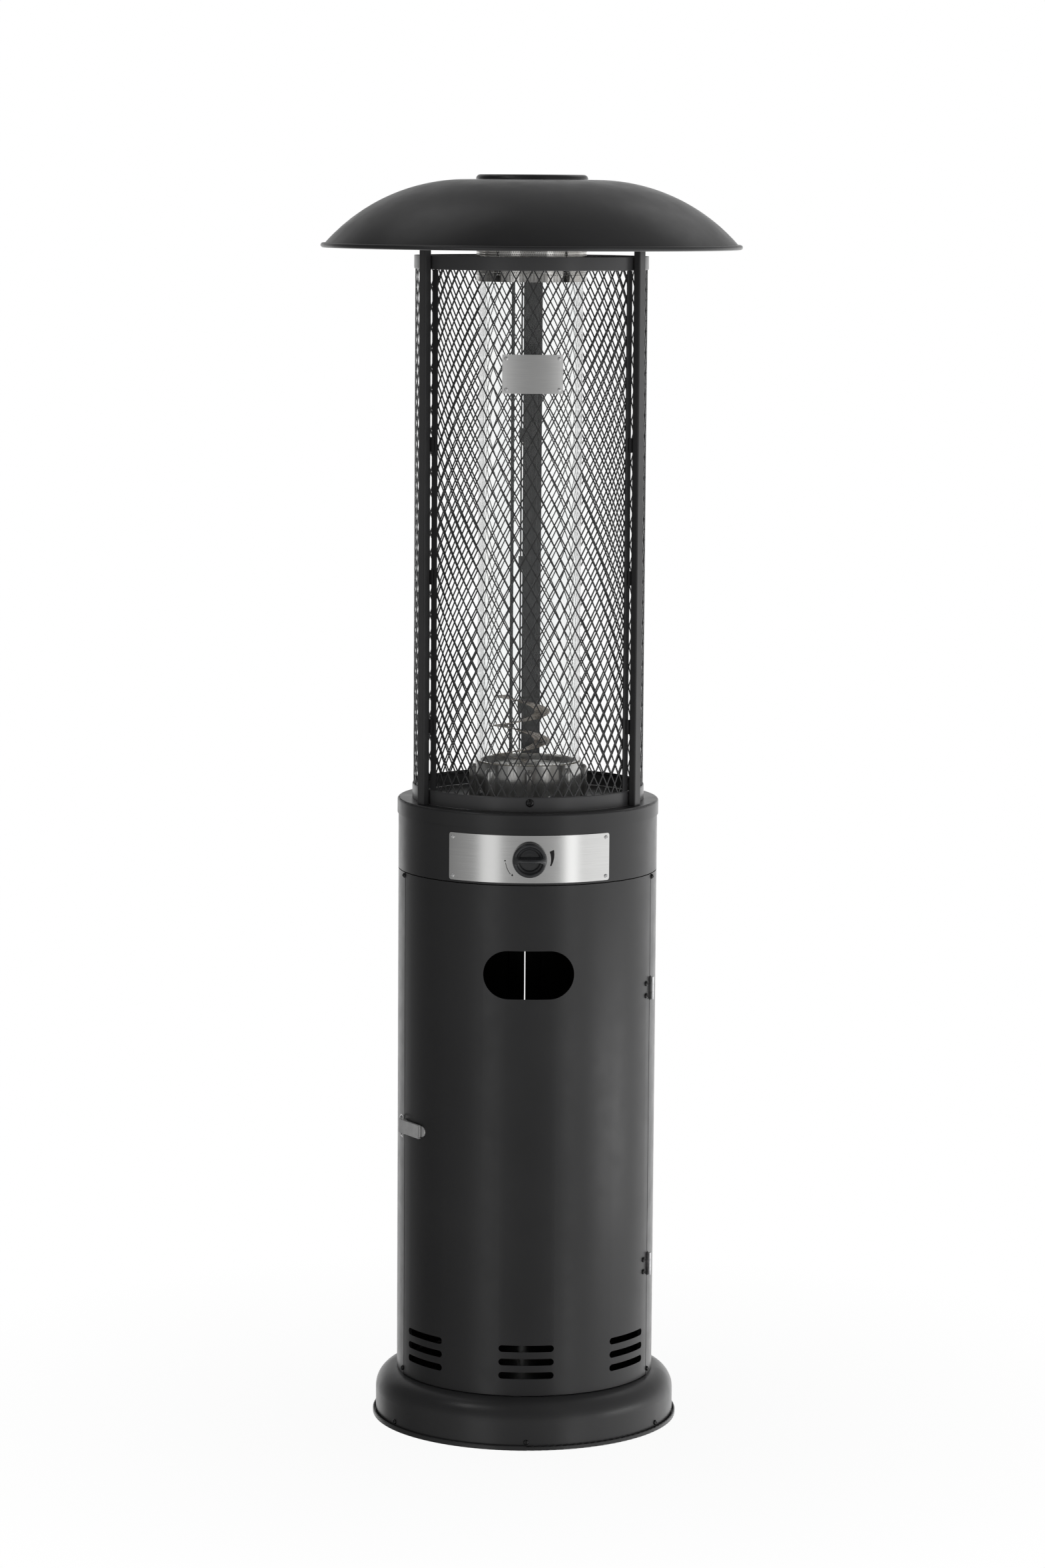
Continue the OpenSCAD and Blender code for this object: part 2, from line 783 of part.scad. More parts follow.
module latch_pin() {
  color(steel) at_latch() translate([0, latch_pivot_y, -lever_w / 2]) cylinder(r = pin_r, h = lever_w);
}

module latch_lever() {
  color(steel) at_latch() translate([0, latch_pivot_y, 0]) rotate([0, 0, -latch_tilt]) difference() {
    union() {
      translate([-lever_start, lever_y, -lever_w / 2]) cube([lever_l, latch_t, lever_w]);
      for (up = [-1, 1])
        translate([0, 0, up * (lever_w - latch_t) / 2 - latch_t / 2]) {
          translate([-lever_start, flange_y, 0]) cube([lever_l, lever_y - flange_y + latch_t / 2, latch_t]);
          translate([0, -lever_start, 0]) cube([bail_arm + lever_nose, lever_y + lever_start, latch_t]);
          cylinder(r = lever_nose, h = latch_t);
        }
    }
    translate([0, 0, -lever_w]) cylinder(r = pin_r + shaft_fit, h = 2 * lever_w);
    rotate([0, 0, latch_tilt]) translate([bail_x, bail_y, -lever_w]) cylinder(r = wire_r + shaft_fit, h = 2 * lever_w);
  }
}

// A straight round wire between two points, with round ends
module wire(a, b, r) {
  d = b - a;
  l = norm(d);
  translate(a) rotate([0, acos(d[2] / l), atan2(d[1], d[0])]) cylinder(r = r, h = l);
}

module latch_bail() {
  neck_share = 0.55;
  neck_x = bail_x - (bail_x + bail_far) * neck_share;
  neck_y = latch_pivot_y + bail_y - (bail_x + bail_far) * neck_share * bail_slope;
  foot = lever_w / 2 - latch_t - over / 2;
  color(steel) at_latch()
    for (up = [-1, 1]) {
      path = [
        [bail_x, latch_pivot_y + bail_y, up * foot],
        [bail_x, latch_pivot_y + bail_y, up * bail_out],
        [neck_x, neck_y, up * bail_out],
        [-bail_far, bail_bar_y, up * bail_neck],
        [-bail_far, bail_bar_y, 0]
      ];
      for (i = [0:len(path) - 2]) wire(path[i], path[i + 1], wire_r);
      for (i = [1:len(path) - 2]) translate(path[i]) sphere(r = bail_bend_r);
    }
}

keeper_w = 20;
keeper_near = 13;
keeper_far = 30;
hook_x = 17.2;
hook_lean = 8;
hook_h = 5;

module latch_keeper() {
  color(steel) {
    on_surface(body_r + seat, body_r + seat + latch_t)
      translate([-keeper_far, -keeper_w / 2]) square([keeper_far - keeper_near, keeper_w]);
    drop = body_r - sqrt(body_r * body_r - hook_x * hook_x);
    at_latch() translate([-hook_x, seat + latch_t / 2 - drop, -bail_neck + 2 * wire_r])
      rotate([0, 0, hook_lean]) translate([-latch_t, 0, 0])
        cube([latch_t, hook_h, 2 * bail_neck - 4 * wire_r]);
  }
}

// Burner
pot_r = pot_d / 2;
pot_t = 1.5;
pot_z = deck_z + seat;
pot_top = deck_z + pot_h;
pot_lip = 7;
pot_hole_r = 50;
rib_r = 7.5;
rib_out = 1.5;
rib_count = 8;
rib_top = 5.5;

module burner_pot() {
  color(steel) {
    difference() {
      union() {
        translate([0, 0, pot_z]) cylinder(r = pot_r, h = pot_top - pot_z);
        for (i = [0:rib_count - 1])
          at_angle(i * 360 / rib_count) translate([0, -pot_r - rib_out, pot_z]) {
            cylinder(r = rib_r, h = pot_top - pot_z - rib_top - rib_r);
            translate([0, 0, pot_top - pot_z - rib_top - rib_r]) sphere(r = rib_r);
          }
      }
      translate([0, 0, pot_z + pot_t]) cylinder(r = pot_r - pot_t, h = pot_top - pot_z - 2 * pot_t);
      translate([0, 0, pot_z - over]) cylinder(r = pot_hole_r, h = 2 * pot_t);
      translate([0, 0, pot_top - pot_t - over]) cylinder(r = pot_r - pot_lip, h = pot_t + 2 * over);
    }
  }
}

burner_r = 14;
burner_wall = 1.5;
burner_flange_r = 60;
head_r = 60;
head_t = 3;
head_down = 9.5;
head_z = pot_top - head_down;
port_r = 2.5;
port_ring = 38;
port_count = 12;

module burner_tube() {
  z0 = pot_z + pot_t + seat;
  color(steel) {
    tube(burner_r - burner_wall, burner_r, burner_low, head_z - seat);
    tube(burner_r - burner_wall / 2, burner_flange_r, z0, z0 + burner_wall);
  }
}

module burner_head() {
  color(steel) difference() {
    translate([0, 0, head_z]) cylinder(r = head_r, h = head_t);
    for (i = [0:port_count - 1])
      at_angle(i * 360 / port_count) translate([0, -port_ring, head_z - over]) cylinder(r = port_r, h = head_t + 2 * over);
  }
}

pilot_r = 3;
pilot_ring = 72;
pilot_step = 9;
pilot_low = pot_z + pot_t + seat;
pilot_down = 14;
probe_down = 10;
igniter_down = 12;

module pilot_set() {
  color(steel) {
    at_angle(0) translate([0, -pilot_ring, pilot_low]) cylinder(r = pilot_r, h = pot_h - pilot_down);
    at_angle(pilot_step) translate([0, -pilot_ring, pilot_low]) cylinder(r = pilot_r / 2, h = pot_h - probe_down);
    at_angle(-pilot_step) translate([0, -pilot_ring, pilot_low]) cylinder(r = pilot_r / 2, h = pot_h - igniter_down);
    translate([-2 * pilot_step, -pilot_ring - pilot_r, pilot_low]) cube([4 * pilot_step, 2 * pilot_r, over]);
  }
}

// Flame spiral: a flat ribbon that climbs round an upright axis, swept ring by ring
spiral_x = -12;
spiral_t = 1.2;
spiral_start = 72;
spiral_steps = 24;
spiral_z = head_z + head_t + seat + spiral_t;
spiral_n = round(spiral_turns * spiral_steps);

function spiral_ring(i) =
  let (
    a = spiral_start + 360 * i / spiral_steps,
    z = spiral_z + spiral_pitch * i / spiral_steps,
    ro = spiral_d / 2,
    ri = ro - spiral_w
  ) [
    [ri * cos(a), ri * sin(a), z - spiral_t],
    [ro * cos(a), ro * sin(a), z - spiral_t],
    [ro * cos(a), ro * sin(a), z],
    [ri * cos(a), ri * sin(a), z]
  ];

module flame_spiral() {
  pts = [for (i = [0:spiral_n]) each spiral_ring(i)];
  last = 4 * spiral_n;
  sides = [
    for (i = [0:spiral_n - 1], k = [0:3])
      let (a = 4 * i + k, b = 4 * i + (k + 1) % 4) each [[a, a + 4, b + 4], [a, b + 4, b]]
  ];
  ends = [[0, 1, 2], [0, 2, 3], [last, last + 2, last + 1], [last, last + 3, last + 2]];
  color(steel) translate([spiral_x, 0, 0]) polyhedron(points = pts, faces = concat(sides, ends));
}

// Glass tube, seated on the pot and held in the flame screen
glass_r = glass_d / 2;
gasket_t = 1.2;
glass_z0 = pot_top + gasket_t + 2 * seat;
glass_in_screen = 6;
shield_t = 1.5;
post_up = 17;
post_top = rim_z + post_up;
shield_z = post_top + seat;
screen_out = 1.5;
screen_r = pot_r + screen_out;
screen_t = 1;
screen_top = shield_z - seat;
screen_z0 = screen_top - screen_h;

module glass_gasket() {
  color(fibre) tube(pot_r - pot_lip + over, glass_r + over, pot_top + seat, pot_top + seat + gasket_t);
}

module glass_tube() {
  color(glass) tube(glass_r - glass_t, glass_r, glass_z0, screen_z0 + glass_in_screen);
}

module flame_screen() {
  color(steel) {
    tube(screen_r - screen_t, screen_r, screen_z0, screen_top);
    tube(glass_r + seat, screen_r - screen_t / 2, screen_z0 + screen_t, screen_z0 + 2 * screen_t);
    tube(screen_r - screen_t / 2, screen_r + 2 * foot_flange, screen_top - screen_t, screen_top);
  }
}

// Guard rings, mesh panels, strips, clips and screws
ring_t = 1.5;
ring_in = guard_r - ring_t;
mesh_t = 1.5;
mesh_out = ring_in - seat;
mesh_in = mesh_out - mesh_t;
mesh_lap = 6;
mesh_z0 = deck_z + ring_low_h - mesh_lap;
mesh_z1 = guard_top - ring_top_h + mesh_lap;
mesh_a = 56.5;
mesh_border = 8;
strip_a0 = 51.7;
strip_a1 = 56.7;
ring_chamfer = 1.6;
guard_screw_d = 13.6;
guard_screw_h = 4;
guard_screw_r = 2.5;
guard_screw_up = 14.9;
guard_screw_z = deck_z + guard_screw_up;

module ring_profile(h, chamfer_top) {
  y = chamfer_top ? h - ring_chamfer : ring_chamfer;
  end = chamfer_top ? h : 0;
  polygon([
    [ring_in, chamfer_top ? 0 : h], [guard_r, chamfer_top ? 0 : h], [guard_r, y],
    [guard_r - ring_chamfer / 2, end], [ring_in, end]
  ]);
}

module guard_ring_lower() {
  color(charcoal) difference() {
    translate([0, 0, deck_z + seat]) rotate_extrude() ring_profile(ring_low_h - seat, true);
    for (a = [0, 120, -120]) at_angle(a)
      spoke(guard_screw_r + hole_fit, ring_in - over, guard_r + over, guard_screw_z);
  }
}

module guard_ring_upper() {
  color(charcoal) translate([0, 0, guard_top - ring_top_h]) rotate_extrude() ring_profile(ring_top_h, false);
}

module guard_screws() {
  color(black) for (a = [0, 120, -120]) at_angle(a)
    side_screw(guard_r, guard_screw_z, guard_screw_d, guard_screw_h, guard_screw_r, ring_t + over);
}

// The mesh is one sheet with a border and a lattice of diamond openings.
// Openings and strand crossings share a grid of half cells: openings where column and row add up to an odd number.
// The openings on the outermost lines are cut in half by the border.
mesh_half_w = mesh_a / arc_a(1, mesh_out) - mesh_border;
mesh_half_h = (mesh_z1 - mesh_z0) / 2 - mesh_border;
mesh_mid = (mesh_z0 + mesh_z1) / 2;
last_col = 2 * mesh_cols;
last_row = 2 * mesh_rows;
cell_w = mesh_half_w / mesh_cols;
cell_h = mesh_half_h / mesh_rows;
cell_l = sqrt(cell_w * cell_w + cell_h * cell_h);
knot_x = strand_w / 2 * cell_l / cell_h;
knot_y = strand_w / 2 * cell_l / cell_w;
south = 0;
east = 1;
north = 2;
west = 3;

// Corner k of opening i, j on the flat pattern, kept inside the border
function opening_corner(i, j, k) = [
  cell_w * (i - mesh_cols) + (k == east && i < last_col ? cell_w - knot_x : k == west && i > 0 ? knot_x - cell_w : 0),
  cell_h * (j - mesh_rows) + (k == north && j < last_row ? cell_h - knot_y : k == south && j > 0 ? knot_y - cell_h : 0)
];

// Point of the sheet's outer edge beside grid place i, j
function edge_point(i, j) = [
  cell_w * (i - mesh_cols) + (i == 0 ? -mesh_border : i == last_col ? mesh_border : 0),
  cell_h * (j - mesh_rows) + (j == 0 ? -mesh_border : j == last_row ? mesh_border : 0)
];

function on_edge(i, j) = i == 0 || i == last_col || j == 0 || j == last_row;
function is_opening(i, j) = (i + j) % 2 == 1;

// The flat pattern's points: four for each grid place, of which crossings use none inside and edges add their own
function place_points(i, j) = concat(
  [for (k = [0:3]) is_opening(i, j) ? opening_corner(i, j, k) : edge_point(i, j)],
  [edge_point(i, j)]
);
place_size = 5;
flat_points = [for (j = [0:last_row], i = [0:last_col]) each place_points(i, j)];
function c(i, j, k) = place_size * (j * (last_col + 1) + i) + k;
function o(i, j) = c(i, j, place_size - 1);

strand_faces = [
  for (j = [0:last_row - 1], i = [0:last_col]) if (is_opening(i, j)) each [
    if (i < last_col) [c(i, j, east), c(i + 1, j + 1, south), c(i + 1, j + 1, west), c(i, j, north)],
    if (i > 0) [c(i, j, north), c(i - 1, j + 1, east), c(i - 1, j + 1, south), c(i, j, west)]
  ]
];

knot_faces = [
  for (j = [0:last_row], i = [0:last_col]) if (!is_opening(i, j)) let (
    corner = (i == 0 || i == last_col) && (j == 0 || j == last_row),
    far = i == last_col && j == last_row
  ) [
    if (j > 0) c(i, j - 1, north),
    if (i < last_col) c(i + 1, j, west),
    if (far) o(i, j),
    if (j < last_row) c(i, j + 1, south),
    if (i > 0) c(i - 1, j, east),
    if (corner && !far) o(i, j)
  ]
];

// Border faces of one side: its places are numbered along it, and a face is turned over on the far sides
function turned(f, over_it) = over_it ? [for (n = [len(f) - 1:-1:0]) f[n]] : f;
side_faces = [
  for (i = [0, last_col], j = [1:last_row - 1]) each (is_opening(i, j) ? [
    turned([o(i, j - 1), c(i, j, south), c(i, j, i == 0 ? west : east), o(i, j)], i > 0),
    turned([o(i, j), c(i, j, i == 0 ? west : east), c(i, j, north), o(i, j + 1)], i > 0)
  ] : [turned([o(i, j), c(i, j - 1, north), c(i, j + 1, south)], i > 0)]),
  for (j = [0, last_row], i = [1:last_col - 1]) each (is_opening(i, j) ? [
    turned([o(i - 1, j), o(i, j), c(i, j, j == 0 ? south : north), c(i, j, west)], j > 0),
    turned([o(i, j), o(i + 1, j), c(i, j, east), c(i, j, j == 0 ? south : north)], j > 0)
  ] : [turned([o(i, j), c(i + 1, j, west), c(i - 1, j, east)], j > 0)])
];

rim = concat(
  [for (i = [0:last_col - 1]) o(i, 0)],
  [for (j = [0:last_row - 1]) o(last_col, j)],
  [for (i = [last_col:-1:1]) o(i, last_row)],
  [for (j = [last_row:-1:1]) o(0, j)]
);

function triangles(f) = len(f) == 3 ? [f] : [[f[0], f[1], f[2]], [f[0], f[2], f[3]]];

// Points in use, numbered afresh so that the solid holds no loose ones
used = [for (j = [0:last_row], i = [0:last_col], k = [0:place_size - 1])
  (k < place_size - 1 && is_opening(i, j)) || (k == place_size - 1 && on_edge(i, j)) ? 1 : 0];
function running(v, n = 0, sum = 0, out = []) =
  n == len(v) ? out : running(v, n + 1, sum + v[n], concat(out, [sum]));
number = running(used);
net_points = [for (n = [0:len(used) - 1]) if (used[n] == 1) flat_points[n]];
count = len(net_points);

// A point of the flat pattern, wrapped on to radius r
function wrap(q, r) = let (a = arc_a(q[0], mesh_out)) [r * sin(a), -r * cos(a), mesh_mid + q[1]];

module guard_mesh() {
  skin = [for (f = concat(strand_faces, knot_faces, side_faces)) each triangles([for (n = f) number[n]])];
  outer = [for (f = skin) [f[2], f[1], f[0]]];
  inner = [for (f = skin) [for (n = f) n + count]];
  gap_walls = [
    for (j = [0:last_row], i = [0:last_col]) if (is_opening(i, j)) for (k = [0:3])
      let (a = number[c(i, j, k)], b = number[c(i, j, (k + 1) % 4)]) each triangles([b, a, a + count, b + count])
  ];
  rim_walls = [
    for (n = [0:len(rim) - 1])
      let (a = number[rim[n]], b = number[rim[(n + 1) % len(rim)]]) each triangles([a, b, b + count, a + count])
  ];
  polyhedron(
    points = concat([for (q = net_points) wrap(q, mesh_out)], [for (q = net_points) wrap(q, mesh_in)]),
    faces = concat(outer, inner, gap_walls, rim_walls)
  );
}

module guard_mesh_front() { color(charcoal) guard_mesh(); }
module guard_mesh_left() { color(charcoal) at_angle(-120) guard_mesh(); }
module guard_mesh_right() { color(charcoal) at_angle(120) guard_mesh(); }

module guard_strips() {
  color(charcoal)
    for (panel = [0, 120, -120], side = [-1, 1])
      at_angle(panel) sector(ring_in, guard_r, deck_z + ring_low_h + seat, guard_top - ring_top_h - seat,
        min(side * strip_a0, side * strip_a1), max(side * strip_a0, side * strip_a1));
}

clip_h = 24;
clip_w = 34;
clip_shares = [0.145, 0.418, 0.66];

module guard_clips() {
  color(charcoal)
    for (a = post_angles, share = clip_shares)
      at_angle(a) translate([-clip_w / 2, -guard_r - seat - clip_t, deck_z + share * guard_h - clip_h / 2])
        cube([clip_w, clip_t, clip_h]);
}

plate_t = 1;
plate_down = 188.3;
plate_z = guard_top - plate_down;
rivet_d = 6.4;
rivet_h = 1.6;
rivet_r = 1.6;
rivet_in = 6.5;
plate_in = mesh_out + seat;
plate_a = arc_a(plate_w / 2, plate_in + plate_t);
rivet_a = arc_a(plate_w / 2 - rivet_in, plate_in + plate_t);

module rivet_places() {
  for (side = [-1, 1], up = [-1, 1])
    at_angle(side * rivet_a) translate([0, 0, plate_z + up * (plate_h / 2 - rivet_in)]) children();
}

module caution_plate() {
  color(steel) difference() {
    sector(plate_in, plate_in + plate_t, plate_z - plate_h / 2, plate_z + plate_h / 2, -plate_a, plate_a);
    rivet_places() spoke(rivet_r + hole_fit / 2, plate_in - over, plate_in + plate_t + over, 0);
  }
}

module caution_rivets() {
  color(steel) rivet_places() side_screw(plate_in + plate_t, 0, rivet_d, rivet_h, rivet_r, plate_t);
}

// Posts
post_wall = 1.4;
post_end = 4;
post_corner = 2;

module post(a) {
  color(charcoal) at_angle(a) translate([0, -post_mid, deck_z + seat]) difference() {
    linear_extrude(height = post_top - deck_z - seat) round_rect(post_w, post_t, post_corner);
    translate([0, 0, post_end])
      linear_extrude(height = post_top - deck_z - seat - 2 * post_end)
        square([post_w - 2 * post_wall, post_t - 2 * post_wall], center = true);
    translate([0, 0, -over]) cylinder(r = post_bolt_r + shaft_fit, h = post_top - deck_z + 2 * over);
  }
}

module post_left() { post(post_angles[0]); }
module post_right() { post(post_angles[1]); }
module post_rear() { post(post_angles[2]); }

bolt_head_r = 5.5;
bolt_head_h = 4;
bolt_l = 14;

module post_bolts() {
  color(steel) for (a = post_angles) at_angle(a) translate([0, -post_mid, deck_z - deck_sheet]) {
    translate([0, 0, -bolt_head_h]) cylinder(r = bolt_head_r, h = bolt_head_h, $fn = 6);
    cylinder(r = post_bolt_r, h = bolt_l);
  }
}

module post_top_screws() {
  color(steel) for (a = post_angles) at_angle(a) translate([0, -post_mid, shield_z + shield_t]) {
    rotate_extrude() button_outline(2 * bolt_head_r, bolt_head_h);
    translate([0, 0, -bolt_l]) cylinder(r = post_bolt_r, h = bolt_l);
  }
}

// Head: heat shield on the posts, studs, dome and cap
stud_ring = 66;
stud_angles = [0, 120, 240];
stud_r = 6;
stud_tip_r = 3;
stud_tip_l = 7.5;
nut_r = 5.8;
nut_h = 4.5;
dome_t = 1.2;
shield_over = 1;
shield_r = post_out + shield_over;
shield_edge = 6;

module head_plate() {
  color(charcoal) difference() {
    union() {
      translate([0, 0, shield_z]) cylinder(r = shield_r, h = shield_t);
      tube(shield_r - shield_t, shield_r, shield_z, shield_z + shield_edge);
    }
    for (a = post_angles)
      at_angle(a) translate([0, -post_mid, shield_z - over]) cylinder(r = post_bolt_r + hole_fit, h = shield_t + 2 * over);
  }
}

module dome_studs() {
  color(steel) for (a = stud_angles) at_angle(a) translate([0, -stud_ring, shield_z + shield_t + seat]) {
    cylinder(r = stud_r, h = dome_top - dome_t - shield_z - shield_t - 2 * seat);
    cylinder(r = stud_tip_r, h = dome_top - shield_z - shield_t - seat + stud_tip_l - 2 * dome_t);
  }
}

module dome_nuts() {
  color(steel) for (a = stud_angles) at_angle(a) translate([0, -stud_ring, dome_top + seat]) difference() {
    cylinder(r = nut_r, h = nut_h, $fn = 6);
    translate([0, 0, -over]) cylinder(r = stud_tip_r + shaft_fit, h = nut_h + 2 * over);
  }
}

dome_edge_r = dome_d / 2 - dome_bead_r;
dome_drop = dome_h - dome_bead_r;
dome_span = dome_edge_r - dome_flat_r;
dome_curve_r = (dome_span * dome_span + dome_drop * dome_drop) / (2 * dome_drop);

// Outline of the dome's outside down to its bead, closed along the axis: a flat middle and a curve through the bead
module dome_outline() {
  intersection() {
    union() {
      translate([0, -dome_curve_r]) square([dome_flat_r, dome_curve_r]);
      translate([dome_flat_r, -dome_curve_r]) circle(r = dome_curve_r, $fn = 200);
    }
    translate([0, -dome_drop]) square([dome_edge_r, dome_h]);
  }
}

module dome() {
  color(charcoal) difference() {
    translate([0, 0, dome_top]) rotate_extrude() {
      difference() {
        dome_outline();
        translate([0, -dome_t]) dome_outline();
      }
      translate([dome_edge_r, -dome_drop]) circle(r = dome_bead_r);
    }
    for (a = stud_angles)
      at_angle(a) translate([0, -stud_ring, dome_top - 3 * dome_t]) cylinder(r = stud_tip_r + hole_fit, h = 6 * dome_t);
  }
}

cap_round = 7.2;
cap_t = 1.2;

module cap_outline(r, h, round) {
  intersection() {
    union() {
      square([r - round, h]);
      translate([r - round, h - round]) circle(r = round);
    }
    square([r, h]);
  }
}

module top_cap() {
  color(charcoal) translate([0, 0, dome_top + seat]) rotate_extrude() difference() {
    cap_outline(cap_d / 2, cap_h - seat, cap_round);
    translate([0, -over]) cap_outline(cap_d / 2 - cap_t, cap_h - seat - cap_t + over, cap_round - cap_t);
  }
}

base_plate();
base_shell();
base_screws();
upright_front_left();
upright_front_right();
upright_rear_left();
upright_rear_right();
rear_panel_left();
rear_panel_right();
panel_screws();
control_band();
deck();
control_panel();
control_panel_screws();
valve_body();
valve_plug();
valve_stem();
knob();
gas_pipe();
tilt_switch();
door();
hinge_door_leaves();
hinge_body_leaves();
hinge_pins();
hinge_screws();
latch_base();
latch_pin();
latch_lever();
latch_bail();
latch_keeper();
burner_pot();
burner_tube();
burner_head();
pilot_set();
flame_spiral();
glass_gasket();
glass_tube();
flame_screen();
guard_ring_lower();
guard_ring_upper();
guard_mesh_front();
guard_mesh_left();
guard_mesh_right();
guard_strips();
guard_clips();
guard_screws();
caution_plate();
caution_rivets();
post_left();
post_right();
post_rear();
post_bolts();
post_top_screws();
head_plate();
dome_studs();
dome_nuts();
dome();
top_cap();
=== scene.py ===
import json
import math

import bpy
from mathutils import Matrix, Vector


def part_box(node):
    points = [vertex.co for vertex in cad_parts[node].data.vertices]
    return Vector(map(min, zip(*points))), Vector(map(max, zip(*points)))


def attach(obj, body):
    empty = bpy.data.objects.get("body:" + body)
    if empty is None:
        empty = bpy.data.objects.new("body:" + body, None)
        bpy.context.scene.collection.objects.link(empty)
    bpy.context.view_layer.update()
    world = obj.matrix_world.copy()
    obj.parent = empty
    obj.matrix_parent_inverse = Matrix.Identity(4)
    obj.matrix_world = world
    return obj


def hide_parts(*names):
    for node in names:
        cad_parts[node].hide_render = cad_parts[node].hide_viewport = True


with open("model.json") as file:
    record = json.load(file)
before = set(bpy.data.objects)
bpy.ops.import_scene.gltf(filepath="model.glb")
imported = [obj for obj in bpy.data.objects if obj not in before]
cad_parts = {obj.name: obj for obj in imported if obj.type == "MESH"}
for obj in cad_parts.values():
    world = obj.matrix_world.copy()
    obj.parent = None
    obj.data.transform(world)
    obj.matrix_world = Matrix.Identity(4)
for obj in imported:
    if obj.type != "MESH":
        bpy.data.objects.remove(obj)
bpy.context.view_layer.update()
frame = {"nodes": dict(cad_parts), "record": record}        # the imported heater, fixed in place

nodes = frame["nodes"]
scene = bpy.context.scene
print("frame loaded,", len(nodes), "nodes")


# Camera, from the photograph: a long lens at head height, 7.6 m away, a little to the left
view = {"distance": 7.6064, "height": 2.0694, "orbit": -0.9, "pitch": 7.409, "roll": 0.385, "yaw": 0.07,
        "focalPixels": 6842.7, "imageHeight": 2352, "sensor": 36.0, "clipEnd": 200}


def addCamera():
    data = bpy.data.cameras.new("camera")
    data.sensor_fit = "VERTICAL"
    data.sensor_height = view["sensor"]
    data.lens = view["focalPixels"] / view["imageHeight"] * view["sensor"]
    data.clip_end = view["clipEnd"]
    cam = bpy.data.objects.new("camera", data)
    scene.collection.objects.link(cam)
    orbit = math.radians(view["orbit"])
    place = Vector((view["distance"] * math.sin(orbit), -view["distance"] * math.cos(orbit),
                    view["height"]))
    turn = (Matrix.Rotation(orbit + math.radians(view["yaw"]), 4, "Z")
            @ Matrix.Rotation(math.radians(90 - view["pitch"]), 4, "X")
            @ Matrix.Rotation(math.radians(view["roll"]), 4, "Z"))
    cam.matrix_world = Matrix.Translation(place) @ turn
    scene.camera = cam


addCamera()
print("camera placed")


# Node helpers
def newMaterial(name):
    mat = bpy.data.materials.new(name)
    mat.use_nodes = True
    tree = mat.node_tree
    shader = tree.nodes["Principled BSDF"]
    return mat, tree, shader


def addNode(tree, kind, inputs=None, **settings):
    node = tree.nodes.new(kind)
    for key, value in settings.items():
        setattr(node, key, value)
    for key, value in (inputs or {}).items():
        if isinstance(value, bpy.types.NodeSocket):
            tree.links.new(value, node.inputs[key])
        else:
            node.inputs[key].default_value = value
    return node


def noise(tree, scale, detail=3.0, stretch=(1, 1, 1), rough=0.5):
    coords = addNode(tree, "ShaderNodeTexCoord")
    mapping = addNode(tree, "ShaderNodeMapping", {"Vector": coords.outputs["Object"], "Scale": stretch})
    tex = addNode(tree, "ShaderNodeTexNoise",
                  {"Vector": mapping.outputs["Vector"], "Scale": scale, "Detail": detail,
                   "Roughness": rough})
    return tex.outputs["Fac"]


def ramp(tree, fac, stops):
    node = addNode(tree, "ShaderNodeValToRGB", {"Fac": fac})
    band = node.color_ramp
    while len(band.elements) < len(stops):
        band.elements.new(0.5)
    for element, (place, color) in zip(band.elements, stops):
        element.position = place
        element.color = (*color, 1)
    return node.outputs["Color"]


def valueRange(tree, fac, low, high, fromLow=0.3, fromHigh=0.7):
    node = addNode(tree, "ShaderNodeMapRange", {"Value": fac, "From Min": fromLow, "From Max": fromHigh,
                                                "To Min": low, "To Max": high})
    return node.outputs["Result"]


def calculate(tree, operation, *values):
    return addNode(tree, "ShaderNodeMath", dict(enumerate(values)), operation=operation).outputs[0]


def mixShaders(tree, share, first, second):
    return addNode(tree, "ShaderNodeMixShader", {0: share, 1: first, 2: second}).outputs[0]


def bump(tree, shader, layers):
    normal = None
    for fac, strength, distance in layers:
        node = addNode(tree, "ShaderNodeBump", {"Height": fac, "Strength": strength, "Distance": distance})
        if normal is not None:
            tree.links.new(normal, node.inputs["Normal"])
        normal = node.outputs["Normal"]
    tree.links.new(normal, shader.inputs["Normal"])


def srgb(*values):
    # grey levels of a screen, 0 to 255, as the linear values that shaders take
    return tuple((v / 255 / 12.92) if v <= 10 else (((v / 255) + 0.055) / 1.055) ** 2.4 for v in values)


# Fine matt powder coat, with the slight orange peel and cloudiness of a sprayed sheet
powder = {"cloudScale": 5, "patchScale": 28, "rough": (0.28, 0.35), "specular": 0.5, "grainScale": 1500,
          "grainBump": (0.22, 0.00025), "peelScale": 260, "peelBump": (0.10, 0.0004)}


def powderCoat(name, dark, light):
    mat, tree, shader = newMaterial(name)
    cloud = noise(tree, powder["cloudScale"], 4)
    tree.links.new(ramp(tree, cloud, [(0.3, dark), (0.7, light)]), shader.inputs["Base Color"])
    patch = noise(tree, powder["patchScale"], 3)
    tree.links.new(valueRange(tree, patch, *powder["rough"]), shader.inputs["Roughness"])
    shader.inputs["Specular IOR Level"].default_value = powder["specular"]
    grain = noise(tree, powder["grainScale"], 2)
    peel = noise(tree, powder["peelScale"], 2)
    bump(tree, shader, [(grain, *powder["grainBump"]), (peel, *powder["peelBump"])])
    return mat


# Brushed stainless: fine lines along one direction, and a soft smear of the highlight across them
brushed = {"lineRough": 0.65, "grooveShade": 0.86, "lineDepth": 0.00012}


